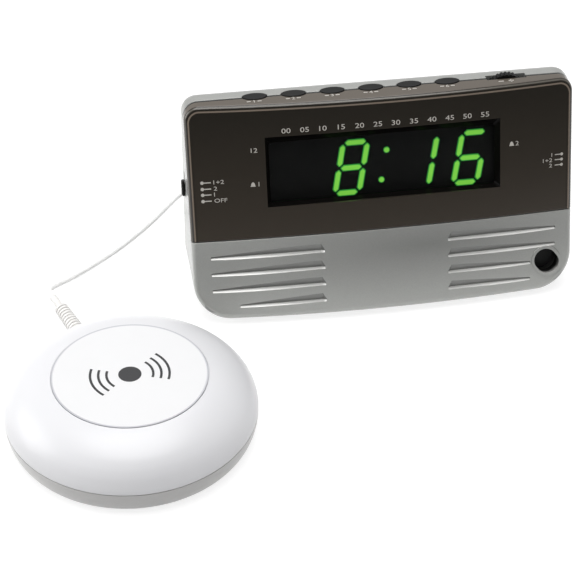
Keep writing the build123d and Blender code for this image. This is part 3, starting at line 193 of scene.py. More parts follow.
def in_field(tree: Tree, place: Socket, field_size: tuple[float, float, float]) -> Socket:
    """Adds a mask that is 1 in an oblong field of the face.

    Args:
        tree: the material's node tree.
        place: socket with the place on the object, in metres.
        field_size: half width, half height and middle height of the field, in millimetres.

    Returns:
        The socket with the mask.
    """
    half_u, half_v, middle_v = field_size
    own = on_face(tree, place, (0.0, middle_v), (half_u * MM, 1.0, half_v * MM))
    folded = add_node(tree, "VectorMath", {"operation": "ABSOLUTE"}, {0: own})
    sides = add_node(tree, "SeparateXYZ", inputs={0: folded}).outputs
    furthest = add_node(tree, "Math", {"operation": "MAXIMUM"}, {0: sides[0], 1: sides[2]})
    return add_node(tree, "Math", {"operation": "LESS_THAN"}, {0: furthest, 1: 1.0}).outputs[0]


@dataclass(frozen=True)
class Finish:
    """One surface finish, which becomes one material.

    Attributes:
        name: the real material and how its surface was made.
        colour: sRGB hex colour of the plain surface.
        roughness: middle of the roughness.
        tint: second sRGB hex colour that the first drifts to.
        drift: share by which the roughness drifts over the surface.
        drift_mm: size of the patches in which colour and roughness drift.
        grain_mm: width of the fine moulded or worn grain, none if zero.
        grain_depth_mm: depth of that grain.
        metallic: 1 for bare metal.
        ior: index of refraction, which a metal leaves alone.
        spread: share of the light that spreads a millimetre under the skin.
    """

    name: str
    colour: str
    roughness: float
    tint: str
    drift: float = 0.12
    drift_mm: float = 9.0
    grain_mm: float = 0.0
    grain_depth_mm: float = 0.01
    metallic: float = 0.0
    ior: float = 1.5
    spread: float = 0.0

    def material(self) -> bpy.types.Material:
        """Builds the material, unless it is there already.

        Returns:
            The material with this finish's name.
        """
        known = bpy.data.materials.get(self.name)
        if known:
            return known
        material = bpy.data.materials.new(self.name)
        material.use_nodes = True
        tree = material.node_tree
        tree.nodes.clear()
        place = add_node(tree, "TexCoord").outputs["Object"]
        patches = add_node(
            tree, "TexNoise", inputs={"Vector": place, "Scale": 1 / (self.drift_mm * MM), "Detail": 3.0}
        ).outputs["Fac"]
        rough = add_node(
            tree,
            "MapRange",
            inputs={
                "Value": patches,
                "To Min": self.roughness * (1 - self.drift),
                "To Max": self.roughness * (1 + self.drift),
            },
        )
        surface: Inputs = {"Roughness": rough, "Metallic": self.metallic}
        if self.metallic < 1:
            surface["IOR"] = self.ior
        surface |= self.tone(tree, place, patches) | self.relief(tree, place) | self.extras()
        shader = add_node(tree, "BsdfPrincipled", inputs=surface)
        add_node(tree, "OutputMaterial", inputs={"Surface": shader})
        return material

    def tone(self, tree: Tree, place: Socket, patches: Socket) -> Inputs:
        """Adds the colour, which drifts between two tones.

        Args:
            tree: the material's node tree.
            place: socket with the place on the object, in metres.
            patches: socket with the drift.

        Returns:
            The shader's inputs that it sets.
        """
        if self.tint == self.colour:
            return {"Base Color": linear(self.colour)}
        drifting = add_node(tree, "Mix", RGBA, {0: patches, 6: linear(self.colour), 7: linear(self.tint)})
        return {"Base Color": drifting.outputs[2]}

    def relief(self, tree: Tree, place: Socket) -> Inputs:
        """Adds the fine grain as a bump, where there is one.

        Args:
            tree: the material's node tree.
            place: socket with the place on the object, in metres.

        Returns:
            The shader's inputs that it sets.
        """
        if not self.grain_mm:
            return {}
        pits = add_node(
            tree, "TexNoise", inputs={"Vector": place, "Scale": 1 / (self.grain_mm * MM), "Detail": 2.0}
        )
        bump = add_node(
            tree, "Bump", inputs={"Height": pits.outputs["Fac"], "Distance": self.grain_depth_mm * MM}
        )
        return {"Normal": bump}

    def extras(self) -> Inputs:
        """Adds what a finish has besides: here, how light spreads in a soft plastic.

        Returns:
            The shader's inputs that it sets.
        """
        if not self.spread:
            return {}
        return {"Subsurface Weight": self.spread, "Subsurface Radius": (1, 1, 1), "Subsurface Scale": MM}


@dataclass(frozen=True)
class SmokedPlastic(Finish):
    """Tinted plastic, with painted light at its edges and foot and painted shade in its window's bevels and
    seam.

    Attributes:
        painted_light_low_colour: colour at the foot of the face, painted paler there as painted light.
        edge_colour: colour of the top and the outer walls, painted paler as painted light.
        shine_colour: painted highlight along the rounded shoulder.
        painted_glow_colour: colour of the paler line just inside the outline, painted light.
        painted_shade_colour: painted shade in the window's bevels and in the seam.
        face_shine, hollow_shine: shine of the cover, and of those bevels, which are left rough.
        window: half width, half height and middle height of the window, along the face.
        seam_mm: depth behind the face from which the walls take painted shade, dark into the seam.
        corner_mm: radius of the outline's corners, and depth of the edge zone.
        top_z: height of the top.
        low_v: foot of the face.
        high_v: top of the face.
    """

    painted_light_low_colour: str = "#3b352e"
    edge_colour: str = "#5c554d"
    shine_colour: str = "#5a564f"
    painted_glow_colour: str = "#7f7367"
    painted_shade_colour: str = "#0c0b0a"
    face_shine: float = 0.5
    hollow_shine: float = 0.04
    window: tuple[float, float, float] = (55.4, 16.65, 71.15)
    seam_mm: float = 4.1
    corner_mm: float = 7.0
    top_z: float = 101.6
    low_v: float = 40.0
    high_v: float = 100.0

    def tone(self, tree: Tree, place: Socket, patches: Socket) -> Inputs:
        """Adds the painted light that rises over the face and lines the edges, and the painted shade of the
        bevels and the seam.

        Args:
            tree: the material's node tree.
            place: socket with the place on the object, in metres.
            patches: socket with the drift, which only the roughness takes here.

        Returns:
            The shader's inputs that it sets.
        """
        own = on_face(tree, place)
        across = add_node(tree, "SeparateXYZ", inputs={0: own})
        height = add_node(tree, "SeparateXYZ", inputs={0: place})
        # Painted light: the face grows paler towards its foot
        rise = add_node(
            tree,
            "MapRange",
            inputs={"Value": across.outputs[2], "From Min": self.low_v * MM, "From Max": self.high_v * MM},
        )
        face_tone = add_node(
            tree, "Mix", RGBA, {0: rise, 6: linear(self.painted_light_low_colour), 7: linear(self.colour)}
        )
        spot = add_node(tree, "CombineXYZ", inputs={0: across, 2: height.outputs[2]})
        folded = add_node(tree, "VectorMath", {"operation": "ABSOLUTE"}, {0: spot})
        inner = ((FACE.half_width - self.corner_mm) * MM, 0, (self.top_z - self.corner_mm) * MM)
        beyond = add_node(tree, "VectorMath", {"operation": "SUBTRACT"}, {0: folded, 1: inner})
        only_out = add_node(tree, "VectorMath", {"operation": "MAXIMUM"}, {0: beyond, 1: (0, 0, 0)})
        reach = add_node(tree, "VectorMath", {"operation": "LENGTH"}, {0: only_out})
        depth = add_node(
            tree,
            "MapRange",
            inputs={"Value": reach.outputs["Value"], "From Min": self.corner_mm * MM, "From Max": 0.0},
        )
        # By depth in the edge zone, painted light and shade: lit wall, dark line, painted highlight, dark
        # line, paler line of painted light, face
        rim = add_node(
            tree,
            "ValToRGB",
            inputs={0: depth},
            stops=(
                (0.0, self.edge_colour, 1.0),
                (0.50, self.colour, 0.0),
                (0.006, self.edge_colour, 1.0),
                (0.012, self.colour, 1.0),
                (0.026, self.colour, 1.0),
                (0.038, self.shine_colour, 1.0),
                (0.08, self.shine_colour, 1.0),
                (0.105, self.colour, 1.0),
                (0.205, self.colour, 1.0),
                (0.235, self.painted_glow_colour, 1.0),
                (0.295, self.painted_glow_colour, 1.0),
                (0.34, self.colour, 0.7),
            ),
        )
        skin = add_node(
            tree, "Mix", RGBA, {0: rim.outputs["Alpha"], 6: face_tone.outputs[2], 7: rim.outputs["Color"]}
        )
        # Painted shade: the walls in the seam and the window's bevels go dark
        seam = add_node(
            tree, "Math", {"operation": "GREATER_THAN"}, {0: across.outputs[1], 1: self.seam_mm * MM}
        )
        bevel = in_field(tree, place, self.window)
        painted_shade_mask = add_node(tree, "Math", {"operation": "MAXIMUM"}, {0: seam, 1: bevel})
        colour = add_node(tree, "Mix", RGBA, {0: painted_shade_mask, 6: skin.outputs[2], 7: linear(self.painted_shade_colour)})
        shine = add_node(
            tree, "MapRange", inputs={"Value": bevel, "To Min": self.face_shine, "To Max": self.hollow_shine}
        )
        return {"Base Color": colour.outputs[2], "Specular IOR Level": shine}


@dataclass(frozen=True)
class SilverLacquer(Finish):
    """Metallic lacquer sprayed on moulded plastic.

    Attributes:
        flake_mm: width of one metal flake.
        flake_share: how far a flake's tone leaves the plain colour.
        coat, coat_rough: weight and roughness of the clear coat.
    """

    flake_mm: float = 0.35
    flake_share: float = 0.03
    coat: float = 0.4
    coat_rough: float = 0.15

    def extras(self) -> Inputs:
        """Adds the clear coat, which brightens what is seen at a low angle."""
        return {"Coat Weight": self.coat, "Coat Roughness": self.coat_rough}

    def tone(self, tree: Tree, place: Socket, patches: Socket) -> Inputs:
        """Adds the flakes over the drifting colour.

        Args:
            tree: the material's node tree.
            place: socket with the place on the object, in metres.
            patches: socket with the drift.

        Returns:
            The shader's inputs that it sets.
        """
        flakes = add_node(tree, "TexVoronoi", inputs={"Vector": place, "Scale": 1 / (self.flake_mm * MM)})
        shade = add_node(tree, "SeparateColor", inputs={0: flakes.outputs["Color"]})
        share = add_node(
            tree,
            "MapRange",
            inputs={"Value": shade, "To Min": 1 - self.flake_share, "To Max": 1 + self.flake_share},
        )
        plain = super().tone(tree, place, patches)["Base Color"]
        flaked = add_node(tree, "VectorMath", {"operation": "SCALE"}, {0: plain, "Scale": share})
        return {"Base Color": flaked}


@dataclass(frozen=True)
class PanelLacquer(SilverLacquer):
    """The lacquer on the grooved panel, with painted light and shade on its grooves, in its port and over
    its face.

    Attributes:
        painted_highlight_colour: painted highlight on the grooves' lower lips, which face up.
        painted_shade_colour: painted shade on their upper slopes, which face down.
        grooves: half width, half height and middle height of the field of grooves.
        port: place across, place up and radius of the sound port.
        port_painted_shade_colour: painted shade inside the port.
        port_depth: depth behind the face at which that colour sets in and is full.
        middle: place across and up where the panel is darkest, in the middle of the painted shade.
        half: distances across and up over which it pales with painted light.
        reach: how many of those distances away it is palest.
            thin, thick: share of the colour in the middle of the panel and round it: painted shade in the
                middle, painted light round it.
    """

    painted_highlight_colour: str = "#cfcfcc"
    painted_shade_colour: str = "#595a58"
    grooves: tuple[float, float, float] = (87.0, 16.0, 20.5)
    port: tuple[float, float, float] = (78.7, 15.0, 7.4)
    port_painted_shade_colour: str = "#232322"
    port_depth: tuple[float, float] = (-1.8, 1.4)
    middle: tuple[float, float] = (20.0, 30.0)
    half: tuple[float, float] = (110.0, 24.0)
    reach: float = 1.2
    thin: float = 0.64
    thick: float = 1.24

    def tone(self, tree: Tree, place: Socket, patches: Socket) -> Inputs:
        """Adds painted highlights on the lips, painted shade on the upper slopes and in the port, and
        painted light and shade that pale the tone round the middle.

        Args:
            tree: the material's node tree.
            place: socket with the place on the object, in metres.
            patches: socket with the drift.

        Returns:
            The shader's inputs that it sets.
        """
        plain = super().tone(tree, place, patches)["Base Color"]
        # Painted shade in the panel's middle and painted light round it
        spread = on_face(tree, place, self.middle, (self.half[0] * MM, 1.0, self.half[1] * MM))
        far = add_node(tree, "VectorMath", {"operation": "LENGTH"}, {0: spread})
        share = add_node(
            tree,
            "MapRange",
            inputs={
                "Value": far.outputs["Value"],
                "From Max": self.reach,
                "To Min": self.thin,
                "To Max": self.thick,
            },
        )
        painted_light_tone = add_node(tree, "VectorMath", {"operation": "SCALE"}, {0: plain, "Scale": share})
        facing = add_node(tree, "NewGeometry").outputs["Normal"]
        upward = add_node(tree, "SeparateXYZ", inputs={0: facing}).outputs[2]
        # By facing, from straight down at 0 to straight up at 1: painted shade on the upper slope, plain
        # slope, painted highlight on the lip
        slope = add_node(tree, "MapRange", inputs={"Value": upward, "From Min": -1.0})
        turned = add_node(
            tree,
            "ValToRGB",
            inputs={0: slope},
            stops=(
                (0.47, self.painted_shade_colour, 0.7),
                (0.80, self.painted_highlight_colour, 1.0),
                (0.60, self.painted_shade_colour, 0.0),
                (0.70, self.painted_highlight_colour, 0.0),
            ),
        )
        painted_slope_share = add_node(
            tree,
            "Math",
            {"operation": "MULTIPLY"},
            {0: turned.outputs["Alpha"], 1: in_field(tree, place, self.grooves)},
        )
        with_painted_slopes = add_node(tree, "Mix", RGBA, {0: painted_slope_share, 6: painted_light_tone, 7: turned.outputs["Color"]})
        # Painted shade inside the sound port, past a given depth behind the face
        inward = add_node(tree, "SeparateXYZ", inputs={0: on_face(tree, place)}).outputs[1]
        radius = self.port[2] * MM
        aside = on_face(tree, place, self.port[:2], (radius, 1.0, radius))
        off = add_node(tree, "VectorMath", {"operation": "LENGTH"}, {0: aside})
        near = add_node(tree, "Math", {"operation": "LESS_THAN"}, {0: off.outputs["Value"], 1: 1.0})
        start, full = [depth * MM for depth in self.port_depth]
        deep = add_node(
            tree, "MapRange", inputs={"Value": inward, "From Min": start, "From Max": full, "To Max": near}
        )
        colour = add_node(tree, "Mix", RGBA, {0: deep, 6: with_painted_slopes.outputs[2], 7: linear(self.port_painted_shade_colour)})
        return {"Base Color": colour.outputs[2]}


@dataclass(frozen=True)
class ClearPane(Finish):
    """Smoked see-through sheet.

    Attributes:
        alpha: share of the surface that hides what is behind it.
    """

    alpha: float = 0.3

    def extras(self) -> Inputs:
        """Lets the display show through."""
        return {"Alpha": self.alpha}


@dataclass(frozen=True)
class LitDiffuser(Finish):
    """Milky plastic over a lamp, which glows evenly.

    Attributes:
        glow: strength of the light at the surface.
    """

    glow: float = 1.0

    def extras(self) -> Inputs:
        """Adds the even glow."""
        return {"Emission Color": linear(self.colour), "Emission Strength": self.glow}


@dataclass(frozen=True)
class CircuitBoard(Finish):
    """Glass fibre board with copper tracks under green solder mask.

    Attributes:
        track_mm: distance between tracks.
        track_share: width of a track over that distance.
        track_run: distance between the cross tracks over that distance.
    """

    track_mm: float = 2.5
    track_share: float = 0.12
    track_run: float = 3.0

    def tone(self, tree: Tree, place: Socket, patches: Socket) -> Inputs:
        """Adds the paler tracks as a bricked pattern.

        Args:
            tree: the material's node tree.
            place: socket with the place on the object, in metres.
            patches: socket with the drift, which only the roughness takes here.

        Returns:
            The shader's inputs that it sets.
        """
        tracks = add_node(
            tree,
            "TexBrick",
            inputs={
                "Vector": place,
                "Color1": linear(self.colour),
                "Color2": linear(self.colour),
                "Mortar": linear(self.tint),
                "Scale": 1 / (self.track_mm * MM),
                "Mortar Size": self.track_share,
                "Brick Width": self.track_run,
                "Row Height": 1.0,
            },
        )
        return {"Base Color": tracks.outputs["Color"]}


@dataclass(frozen=True)
class WovenTape(Finish):
    """Woven strap.

    Attributes:
        thread_mm: distance between threads.
        thread_depth_mm: height of a thread.
        sheen: weight of the shine of loose threads.
    """

    thread_mm: float = 0.8
    thread_depth_mm: float = 0.12
    sheen: float = 0.3

    def relief(self, tree: Tree, place: Socket) -> Inputs:
        """Adds the crossing threads as a bump.

        Args:
            tree: the material's node tree.
            place: socket with the place on the object, in metres.

        Returns:
            The shader's inputs that it sets.
        """
        weave = add_node(tree, "TexChecker", inputs={"Vector": place, "Scale": 1 / (self.thread_mm * MM)})
        bump = add_node(
            tree, "Bump", inputs={"Height": weave.outputs["Fac"], "Distance": self.thread_depth_mm * MM}
        )
        return {"Normal": bump}

    def extras(self) -> Inputs:
        """Adds the soft shine of loose threads."""
        return {"Sheen Weight": self.sheen}


@dataclass(frozen=True)
class CutFilm(Finish):
    """Film with a round cut edge, which shows as a soft line.

    Attributes:
        middle: the film's middle, in millimetres.
        edge_mm: radius at which the line is full.
        blur_mm: width over which it sets in.
        edge_colour: colour of the line.
    """

    middle: tuple[float, float, float] = (-82.95, -28.8, 30.8)
    edge_mm: float = 33.5
    blur_mm: float = 0.6
    edge_colour: str = "#b9b9bf"

    def tone(self, tree: Tree, place: Socket, patches: Socket) -> Inputs:
        """Adds the line along the edge.

        Args:
            tree: the material's node tree.
            place: socket with the place on the object, in metres.
            patches: socket with the drift.

        Returns:
            The shader's inputs that it sets.
        """
        plain = super().tone(tree, place, patches)["Base Color"]
        off = add_node(
            tree, "VectorMath", {"operation": "DISTANCE"}, {0: place, 1: Vector(self.middle) * MM}
        )
        rim = add_node(
            tree,
            "MapRange",
            inputs={
                "Value": off.outputs["Value"],
                "From Min": (self.edge_mm - self.blur_mm) * MM,
                "From Max": self.edge_mm * MM,
            },
        )
        edged = add_node(tree, "Mix", RGBA, {0: rim, 6: plain, 7: linear(self.edge_colour)})
        return {"Base Color": edged.outputs[2]}


# Tinted polystyrene from a polished mould: deep and glossy, painted paler brown at the edges as painted
# light
COVER = SmokedPlastic("smoked_polystyrene_polished", "#25221d", 0.12, "#26231e", ior=1.45)
# Clear acrylic sheet with a grey tint: hardly seen, apart from a soft shine
PANE = ClearPane("smoked_acrylic_sheet", "#030403", 0.08, "#040504", ior=1.12, alpha=0.2)
# Silver lacquer on ABS: satin, with flakes drawn coarse enough to show
SILVER = SilverLacquer(
    "silver_lacquer_on_abs", "#9b9c99", 0.42, "#999a97", metallic=0.3, grain_mm=0.9, grain_depth_mm=0.004
)
# The same lacquer on the front panel, with painted highlights on the lips of the grooves, painted shade on
# their upper slopes and in the port, and painted light round the middle
PANEL_SILVER = PanelLacquer(
    "silver_lacquer_on_panel", "#9b9c99", 0.42, "#999a97", metallic=0.3, grain_mm=0.9, grain_depth_mm=0.004
)
# Black ABS from a spark-eroded mould: dull, with a fine even grain
BLACK_ABS = Finish(
    "black_abs_spark_eroded", "#0b0b0b", 0.5, "#0d0d0d", grain_mm=0.5, grain_depth_mm=0.012, ior=1.33
)
# Matt black paint on the display's front: no shine behind the pane
DISPLAY_BLACK = Finish("matt_black_display_paint", "#050706", 0.8, "#060807")
# Milky epoxy over green lamps: green at the rim of a bar, yellower along its middle
LIT_GREEN = LitDiffuser("green_led_epoxy", "#2f9a3c", 0.5, "#2f9a3c", glow=0.8)
LIT_CORE = LitDiffuser("green_led_epoxy_core", "#7ed24a", 0.5, "#7ed24a", glow=1.0)
# Green solder mask over copper tracks
BOARD = CircuitBoard("solder_mask_on_glass_fibre", "#1d4a2c", 0.4, "#2d6a3e")
# Zinc plated steel: grey, softly mottled
STEEL = Finish("steel_zinc_plated", "#a9adb0", 0.34, "#94989c", drift=0.3, drift_mm=1.5, metallic=1.0)
# Nickel plate on brass: warm grey and bright
NICKEL = Finish("nickel_plate", "#b7b2a6", 0.22, "#a8a398", drift=0.3, drift_mm=1.2, metallic=1.0)
# Turned brass: yellow, with dull patches
BRASS = Finish("brass_turned", "#b5924c", 0.32, "#a3823f", drift=0.3, drift_mm=2.0, metallic=1.0)
# Black rubber from a plain mould: matt, a little dusty
RUBBER = Finish("black_rubber_moulded", "#1c1c1c", 0.8, "#262625", grain_mm=0.6, grain_depth_mm=0.02)
# White ABS from a polished mould: a soft gloss, slightly cool
WHITE_ABS = Finish(
    "white_abs_polished", "#dedee0", 0.30, "#dcdcdf", drift_mm=24.0, grain_mm=1.4, grain_depth_mm=0.002
)
# The same ABS on the lower shell, painted a shade greyer as painted shade on its downward flank
WHITE_ABS_PAINTED_SHADE = Finish("white_abs_polished_painted_shade", "#bdbcbb", 0.32, "#bab9b8", drift_mm=24.0)
# Printed polyester film: flat and matt, greyer along its cut edge
LABEL = CutFilm("white_polyester_film", "#e2e2e3", 0.5, "#e0e0e1", grain_mm=0.7, grain_depth_mm=0.003)
# Soft white vinyl, moulded: dull, a little yellow in random patches
VINYL = Finish("white_vinyl_moulded", "#e9e8e6", 0.48, "#e1dfdc", drift_mm=3.0, spread=0.4)
# Vinyl drawn round the wires: slightly uneven along its length
CORD_VINYL = Finish("white_vinyl_drawn", "#f5f5f4", 0.45, "#efefee", drift_mm=5.0, spread=0.6)
# Nylon hook and loop tape
TAPE = WovenTape("black_nylon_woven", "#1b1b1c", 0.8, "#252526", drift_mm=2.0)
# Screen ink on the smoked cover: thin and slightly grey
PALE_INK = Finish("pale_screen_ink", "#bdb9b2", 0.55, "#b3afa8", drift_mm=1.5)
# Black ink on the label
BLACK_INK = Finish("black_screen_ink", "#2b2b2d", 0.6, "#343436", drift_mm=1.5)


def dress_nodes(finish: Finish, names: Iterable[str]) -> None:
    """Gives CAD nodes a finish.

    Args:
        finish: the finish that they all take.
        names: the nodes' names.
    """
    for name in names:
        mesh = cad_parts[name].data
        mesh.materials.clear()
        mesh.materials.append(finish.material())
        LOG.info("%s: %s", name, finish.name)


def join_piece(name: str, finish: Finish, build: BMesh) -> None:
    """Turns a finished bmesh into a piece that rides on the clock.

    Args:
        name: the piece's name.
        finish: its finish.
        build: the mesh, which is freed.
    """
    mesh = bpy.data.meshes.new(name)
    build.to_mesh(mesh)
    build.free()
    mesh.materials.append(finish.material())
    piece = bpy.data.objects.new(name, mesh)
    bpy.context.scene.collection.objects.link(piece)
    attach(piece, "clock")
    LOG.info("%s: %d faces", name, len(mesh.polygons))


def add_mark(build: BMesh, outline: Outline, place: Placer, lifts: tuple[float, float]) -> None:
    """Adds a flat mark as a thin closed plate.

    Args:
        build: the mesh that takes it.
        outline: its outline, anticlockwise.
        place: function from u, v and lift to a point in metres.
        lifts: lift of its underside and of its top.
    """
    under, over = [[build.verts.new(place(u, v, lift)) for u, v in outline] for lift in lifts]
    build.faces.new(list(reversed(under)))
    build.faces.new(over)
    for i, vert in enumerate(under):
        j = (i + 1) % len(under)
        build.faces.new((vert, under[j], over[j], over[i]))


def disc(u: float, v: float, radius: float, sides: int = 20) -> Outline:
    """Outline of a round mark."""
    turns = [math.tau * i / sides for i in range(sides)]
    return [(u + radius * math.cos(turn), v + radius * math.sin(turn)) for turn in turns]


def bar(left: float, low: float, right: float, high: float) -> Outline:
    """Outline of an upright rectangle."""
    return [(left, low), (right, low), (right, high), (left, high)]


@dataclass(frozen=True)
class Row:
    """One row of printed numbers or signs.

    Attributes:
        text: what it says.
        u: place across.
        v: place of its foot.
        height: height of a figure.
        align: which end stands at u.
        stretch: width over the font's own width.
    """

    text: str
    u: float
    v: float
    height: float
    align: Align = Align.CENTRE
    stretch: float = 1.15

    def glyphs(self) -> bpy.types.Mesh:
        """Draws the row as a flat mesh.

        Returns:
            The mesh in its place, in millimetres.
        """
        font = bpy.data.curves.new("row", "FONT")
        font.body = self.text
        font.resolution_u = 3
        holder = bpy.data.objects.new("row", font)
        mesh = bpy.data.meshes.new_from_object(holder)
        bpy.data.objects.remove(holder)
        bpy.data.curves.remove(font)
        xs = [vert.co.x for vert in mesh.vertices]
        ys = [vert.co.y for vert in mesh.vertices]
        scale = self.height / (max(ys) - min(ys))
        wide = scale * self.stretch
        start = self.u - self.align.value * wide * (max(xs) - min(xs))
        for vert in mesh.vertices:
            vert.co = (start + (vert.co.x - min(xs)) * wide, self.v + (vert.co.y - min(ys)) * scale, 0)
        return mesh


def add_row(build: BMesh, row: Row, place: Placer, lifts: tuple[float, float]) -> None:
    """Adds a printed row as thin closed figures.

    Args:
        build: the mesh that takes it.
        row: the row.
        place: function from u, v and lift to a point in metres.
        lifts: lift of their underside and of their top.
    """
    mesh = row.glyphs()
    figures = bmesh.new()
    figures.from_mesh(mesh)
    bpy.data.meshes.remove(mesh)
    bmesh.ops.remove_doubles(figures, verts=figures.verts, dist=1e-4)
    raised = bmesh.ops.extrude_face_region(figures, geom=figures.faces[:])
    top = {vert for vert in raised["geom"] if isinstance(vert, bmesh.types.BMVert)}
    for vert in figures.verts:
        vert.co = place(vert.co.x, vert.co.y, lifts[vert in top])
    bmesh.ops.recalc_face_normals(figures, faces=figures.faces)
    merged = bpy.data.meshes.new("merged")
    figures.to_mesh(merged)
    figures.free()
    build.from_mesh(merged)
    bpy.data.meshes.remove(merged)


@dataclass
class ClockCase:
    """Smoked cover, silver panel and rear shell, with their small fixings.

    Attributes:
        silver, black, nickel, steel: the CAD nodes of each finish.
    """

    silver: tuple[str, ...] = ("rear_case", "battery_door")
    black: tuple[str, ...] = ("siren", "power_inlet", "shaker_jack", "battery_bay")
    nickel: tuple[str, ...] = ("battery_snaps",)
    steel: tuple[str, ...] = ("case_screws", "board_screws")

    def dress(self) -> None:
        """Gives each piece of the case its finish."""
        # The cover's colour carries painted light at its edges and foot, and painted shade in its bevels and
        # seam
        dress_nodes(COVER, ("smoked_cover",))
        dress_nodes(PANE, ("display_window",))
        dress_nodes(SILVER, self.silver)
        # The front panel takes the copy of the lacquer with painted light and shade
        dress_nodes(PANEL_SILVER, ("front_panel",))
        dress_nodes(BLACK_ABS, self.black)
        dress_nodes(NICKEL, self.nickel)
        dress_nodes(STEEL, self.steel)
        dress_nodes(RUBBER, ("rubber_feet",))


@dataclass
class Controls:
    """Keys, tone wheel and slide switches.

    Attributes:
        keys, moving, inside: CAD nodes of black plastic.
    """

    keys: tuple[str, ...] = ("dimmer_key", "snooze_key", "alarm_key", "clock_key", "hour_key", "minute_key")
    moving: tuple[str, ...] = ("tone_wheel", "mode_knob", "alarm_knob")
    inside: tuple[str, ...] = ("tone_pot", "mode_switch", "alarm_switch", "push_switches", "clock_chip")

    def dress(self) -> None:
        """Gives the controls and their electric parts a finish."""
        dress_nodes(BLACK_ABS, self.keys + self.moving + self.inside)
        dress_nodes(BOARD, ("main_board", "key_board"))
        dress_nodes(STEEL, ("capacitors",))


@dataclass
class Display:
    """Green digits on their black module.

    Attributes:
        digit_h, digit_w, digit_v, slant: size, middle height and slant of a digit.
        bar_w, gap: width of a bar and half the gap between two.
        core_in: how far the bright core keeps from a bar's rim.
        colon: place across, half distance and core radius of the two dots.
        front_w: how far out of the flat plane the bars end.
        shown: place across and lit bars of each digit.
        core_lift: lift of a core's underside and top over the bars.
    """

    digit_h: float = 27.0
    digit_w: float = 14.5
    digit_v: float = 68.6
    slant: float = math.radians(10.9)
    bar_w: float = 3.0
    gap: float = 0.45
    core_in: float = 0.45
    front_w: float = -2.49
    shown: tuple[tuple[float, str], ...] = ((-14.6, "abcdefg"), (18.6, "bc"), (42.2, "acdefg"))
    colon: tuple[float, float, float] = (1.0, 7.1, 1.15)
    core_lift: tuple[float, float] = (-0.1, 0.06)

    def line(self, name: str) -> tuple[Vector, Vector]:
        """Finds the middle line of a bar.

        Args:
            name: the bar's letter.

        Returns:
            Its two ends, from the digit's middle.
        """
        x = (self.digit_w - self.bar_w) / 2
        y = (self.digit_h - self.bar_w) / 2
        ends = {
            "a": ((-x, y), (x, y)),
            "b": ((x, y), (x, 0)),
            "c": ((x, 0), (x, -y)),
            "d": ((-x, -y), (x, -y)),
            "e": ((-x, 0), (-x, -y)),
            "f": ((-x, y), (-x, 0)),
            "g": ((-x, 0), (x, 0)),
        }
        return (Vector(ends[name][0]), Vector(ends[name][1]))

    def core(self, digit_u: float, name: str) -> Outline:
        """Draws the bright core of a bar.

        Args:
            digit_u: place across of the digit's middle.
            name: the bar's letter.

        Returns:
            The core's outline on the face, anticlockwise.
        """
        first, last = self.line(name)
        along = (last - first).normalized()
        half = self.bar_w / 2 - self.core_in
        aside = Vector((-along.y, along.x)) * half
        tip = along * (self.gap + self.core_in * math.sqrt(2))
        shoulder = tip + along * half
        corners = (
            first + tip,
            first + shoulder - aside,
            last - shoulder - aside,
            last - tip,
            last - shoulder + aside,
            first + shoulder + aside,
        )
        return [(digit_u + c.x + c.y * math.tan(self.slant), self.digit_v + c.y) for c in corners]

    def dots(self) -> list[Outline]:
        """Outlines of the bright cores of the two dots."""
        u, step, radius = self.colon
        return [disc(u + y * math.tan(self.slant), self.digit_v + y, radius) for y in (step, -step)]

    def dress(self) -> None:
        """Gives the module and its bars a finish and adds the bright cores."""
        dress_nodes(DISPLAY_BLACK, ("led_module",))
        dress_nodes(LIT_GREEN, ("lit_segments",))
        build = bmesh.new()
        cores = [self.core(digit_u, name) for digit_u, names in self.shown for name in names]
        lifts = (self.front_w + self.core_lift[0], self.front_w + self.core_lift[1])
        for outline in cores + self.dots():
            add_mark(build, outline, FACE.flat, lifts)
        join_piece("lit_cores", LIT_CORE, build)


@dataclass(frozen=True)
class SwitchMarks:
    """Dots, dashes and figures on the face beside a slide switch.

    Attributes:
        dot_u, dot_r: place across and radius of the dots.
        dash_u, dash_half: ends across and half height of the dashes.
        text_u, text_h, align: place across, height and standing end of the figures.
        rows: height on the face and text of each row.
    """

    dot_u: float
    dot_r: float
    dash_u: tuple[float, float]
    dash_half: float
    text_u: float
    text_h: float
    align: Align
    rows: tuple[tuple[float, str], ...]


LEFT_MARKS = SwitchMarks(
    dot_u=-85.0,
    dot_r=0.8,
    dash_u=(-84.4, -81.0),
    dash_half=0.25,
    text_u=-79.8,
    text_h=1.9,
    align=Align.LEFT,
    rows=((68.2, "1+2"), (65.2, "2"), (62.4, "1"), (59.4, "OFF")),
)
RIGHT_MARKS = SwitchMarks(
    dot_u=86.0,
    dot_r=0.7,
    dash_u=(82.6, 85.4),
    dash_half=0.22,
    text_u=81.2,
    text_h=1.8,
    align=Align.RIGHT,
    rows=((67.3, "1"), (64.8, "1+2"), (62.2, "2")),
)


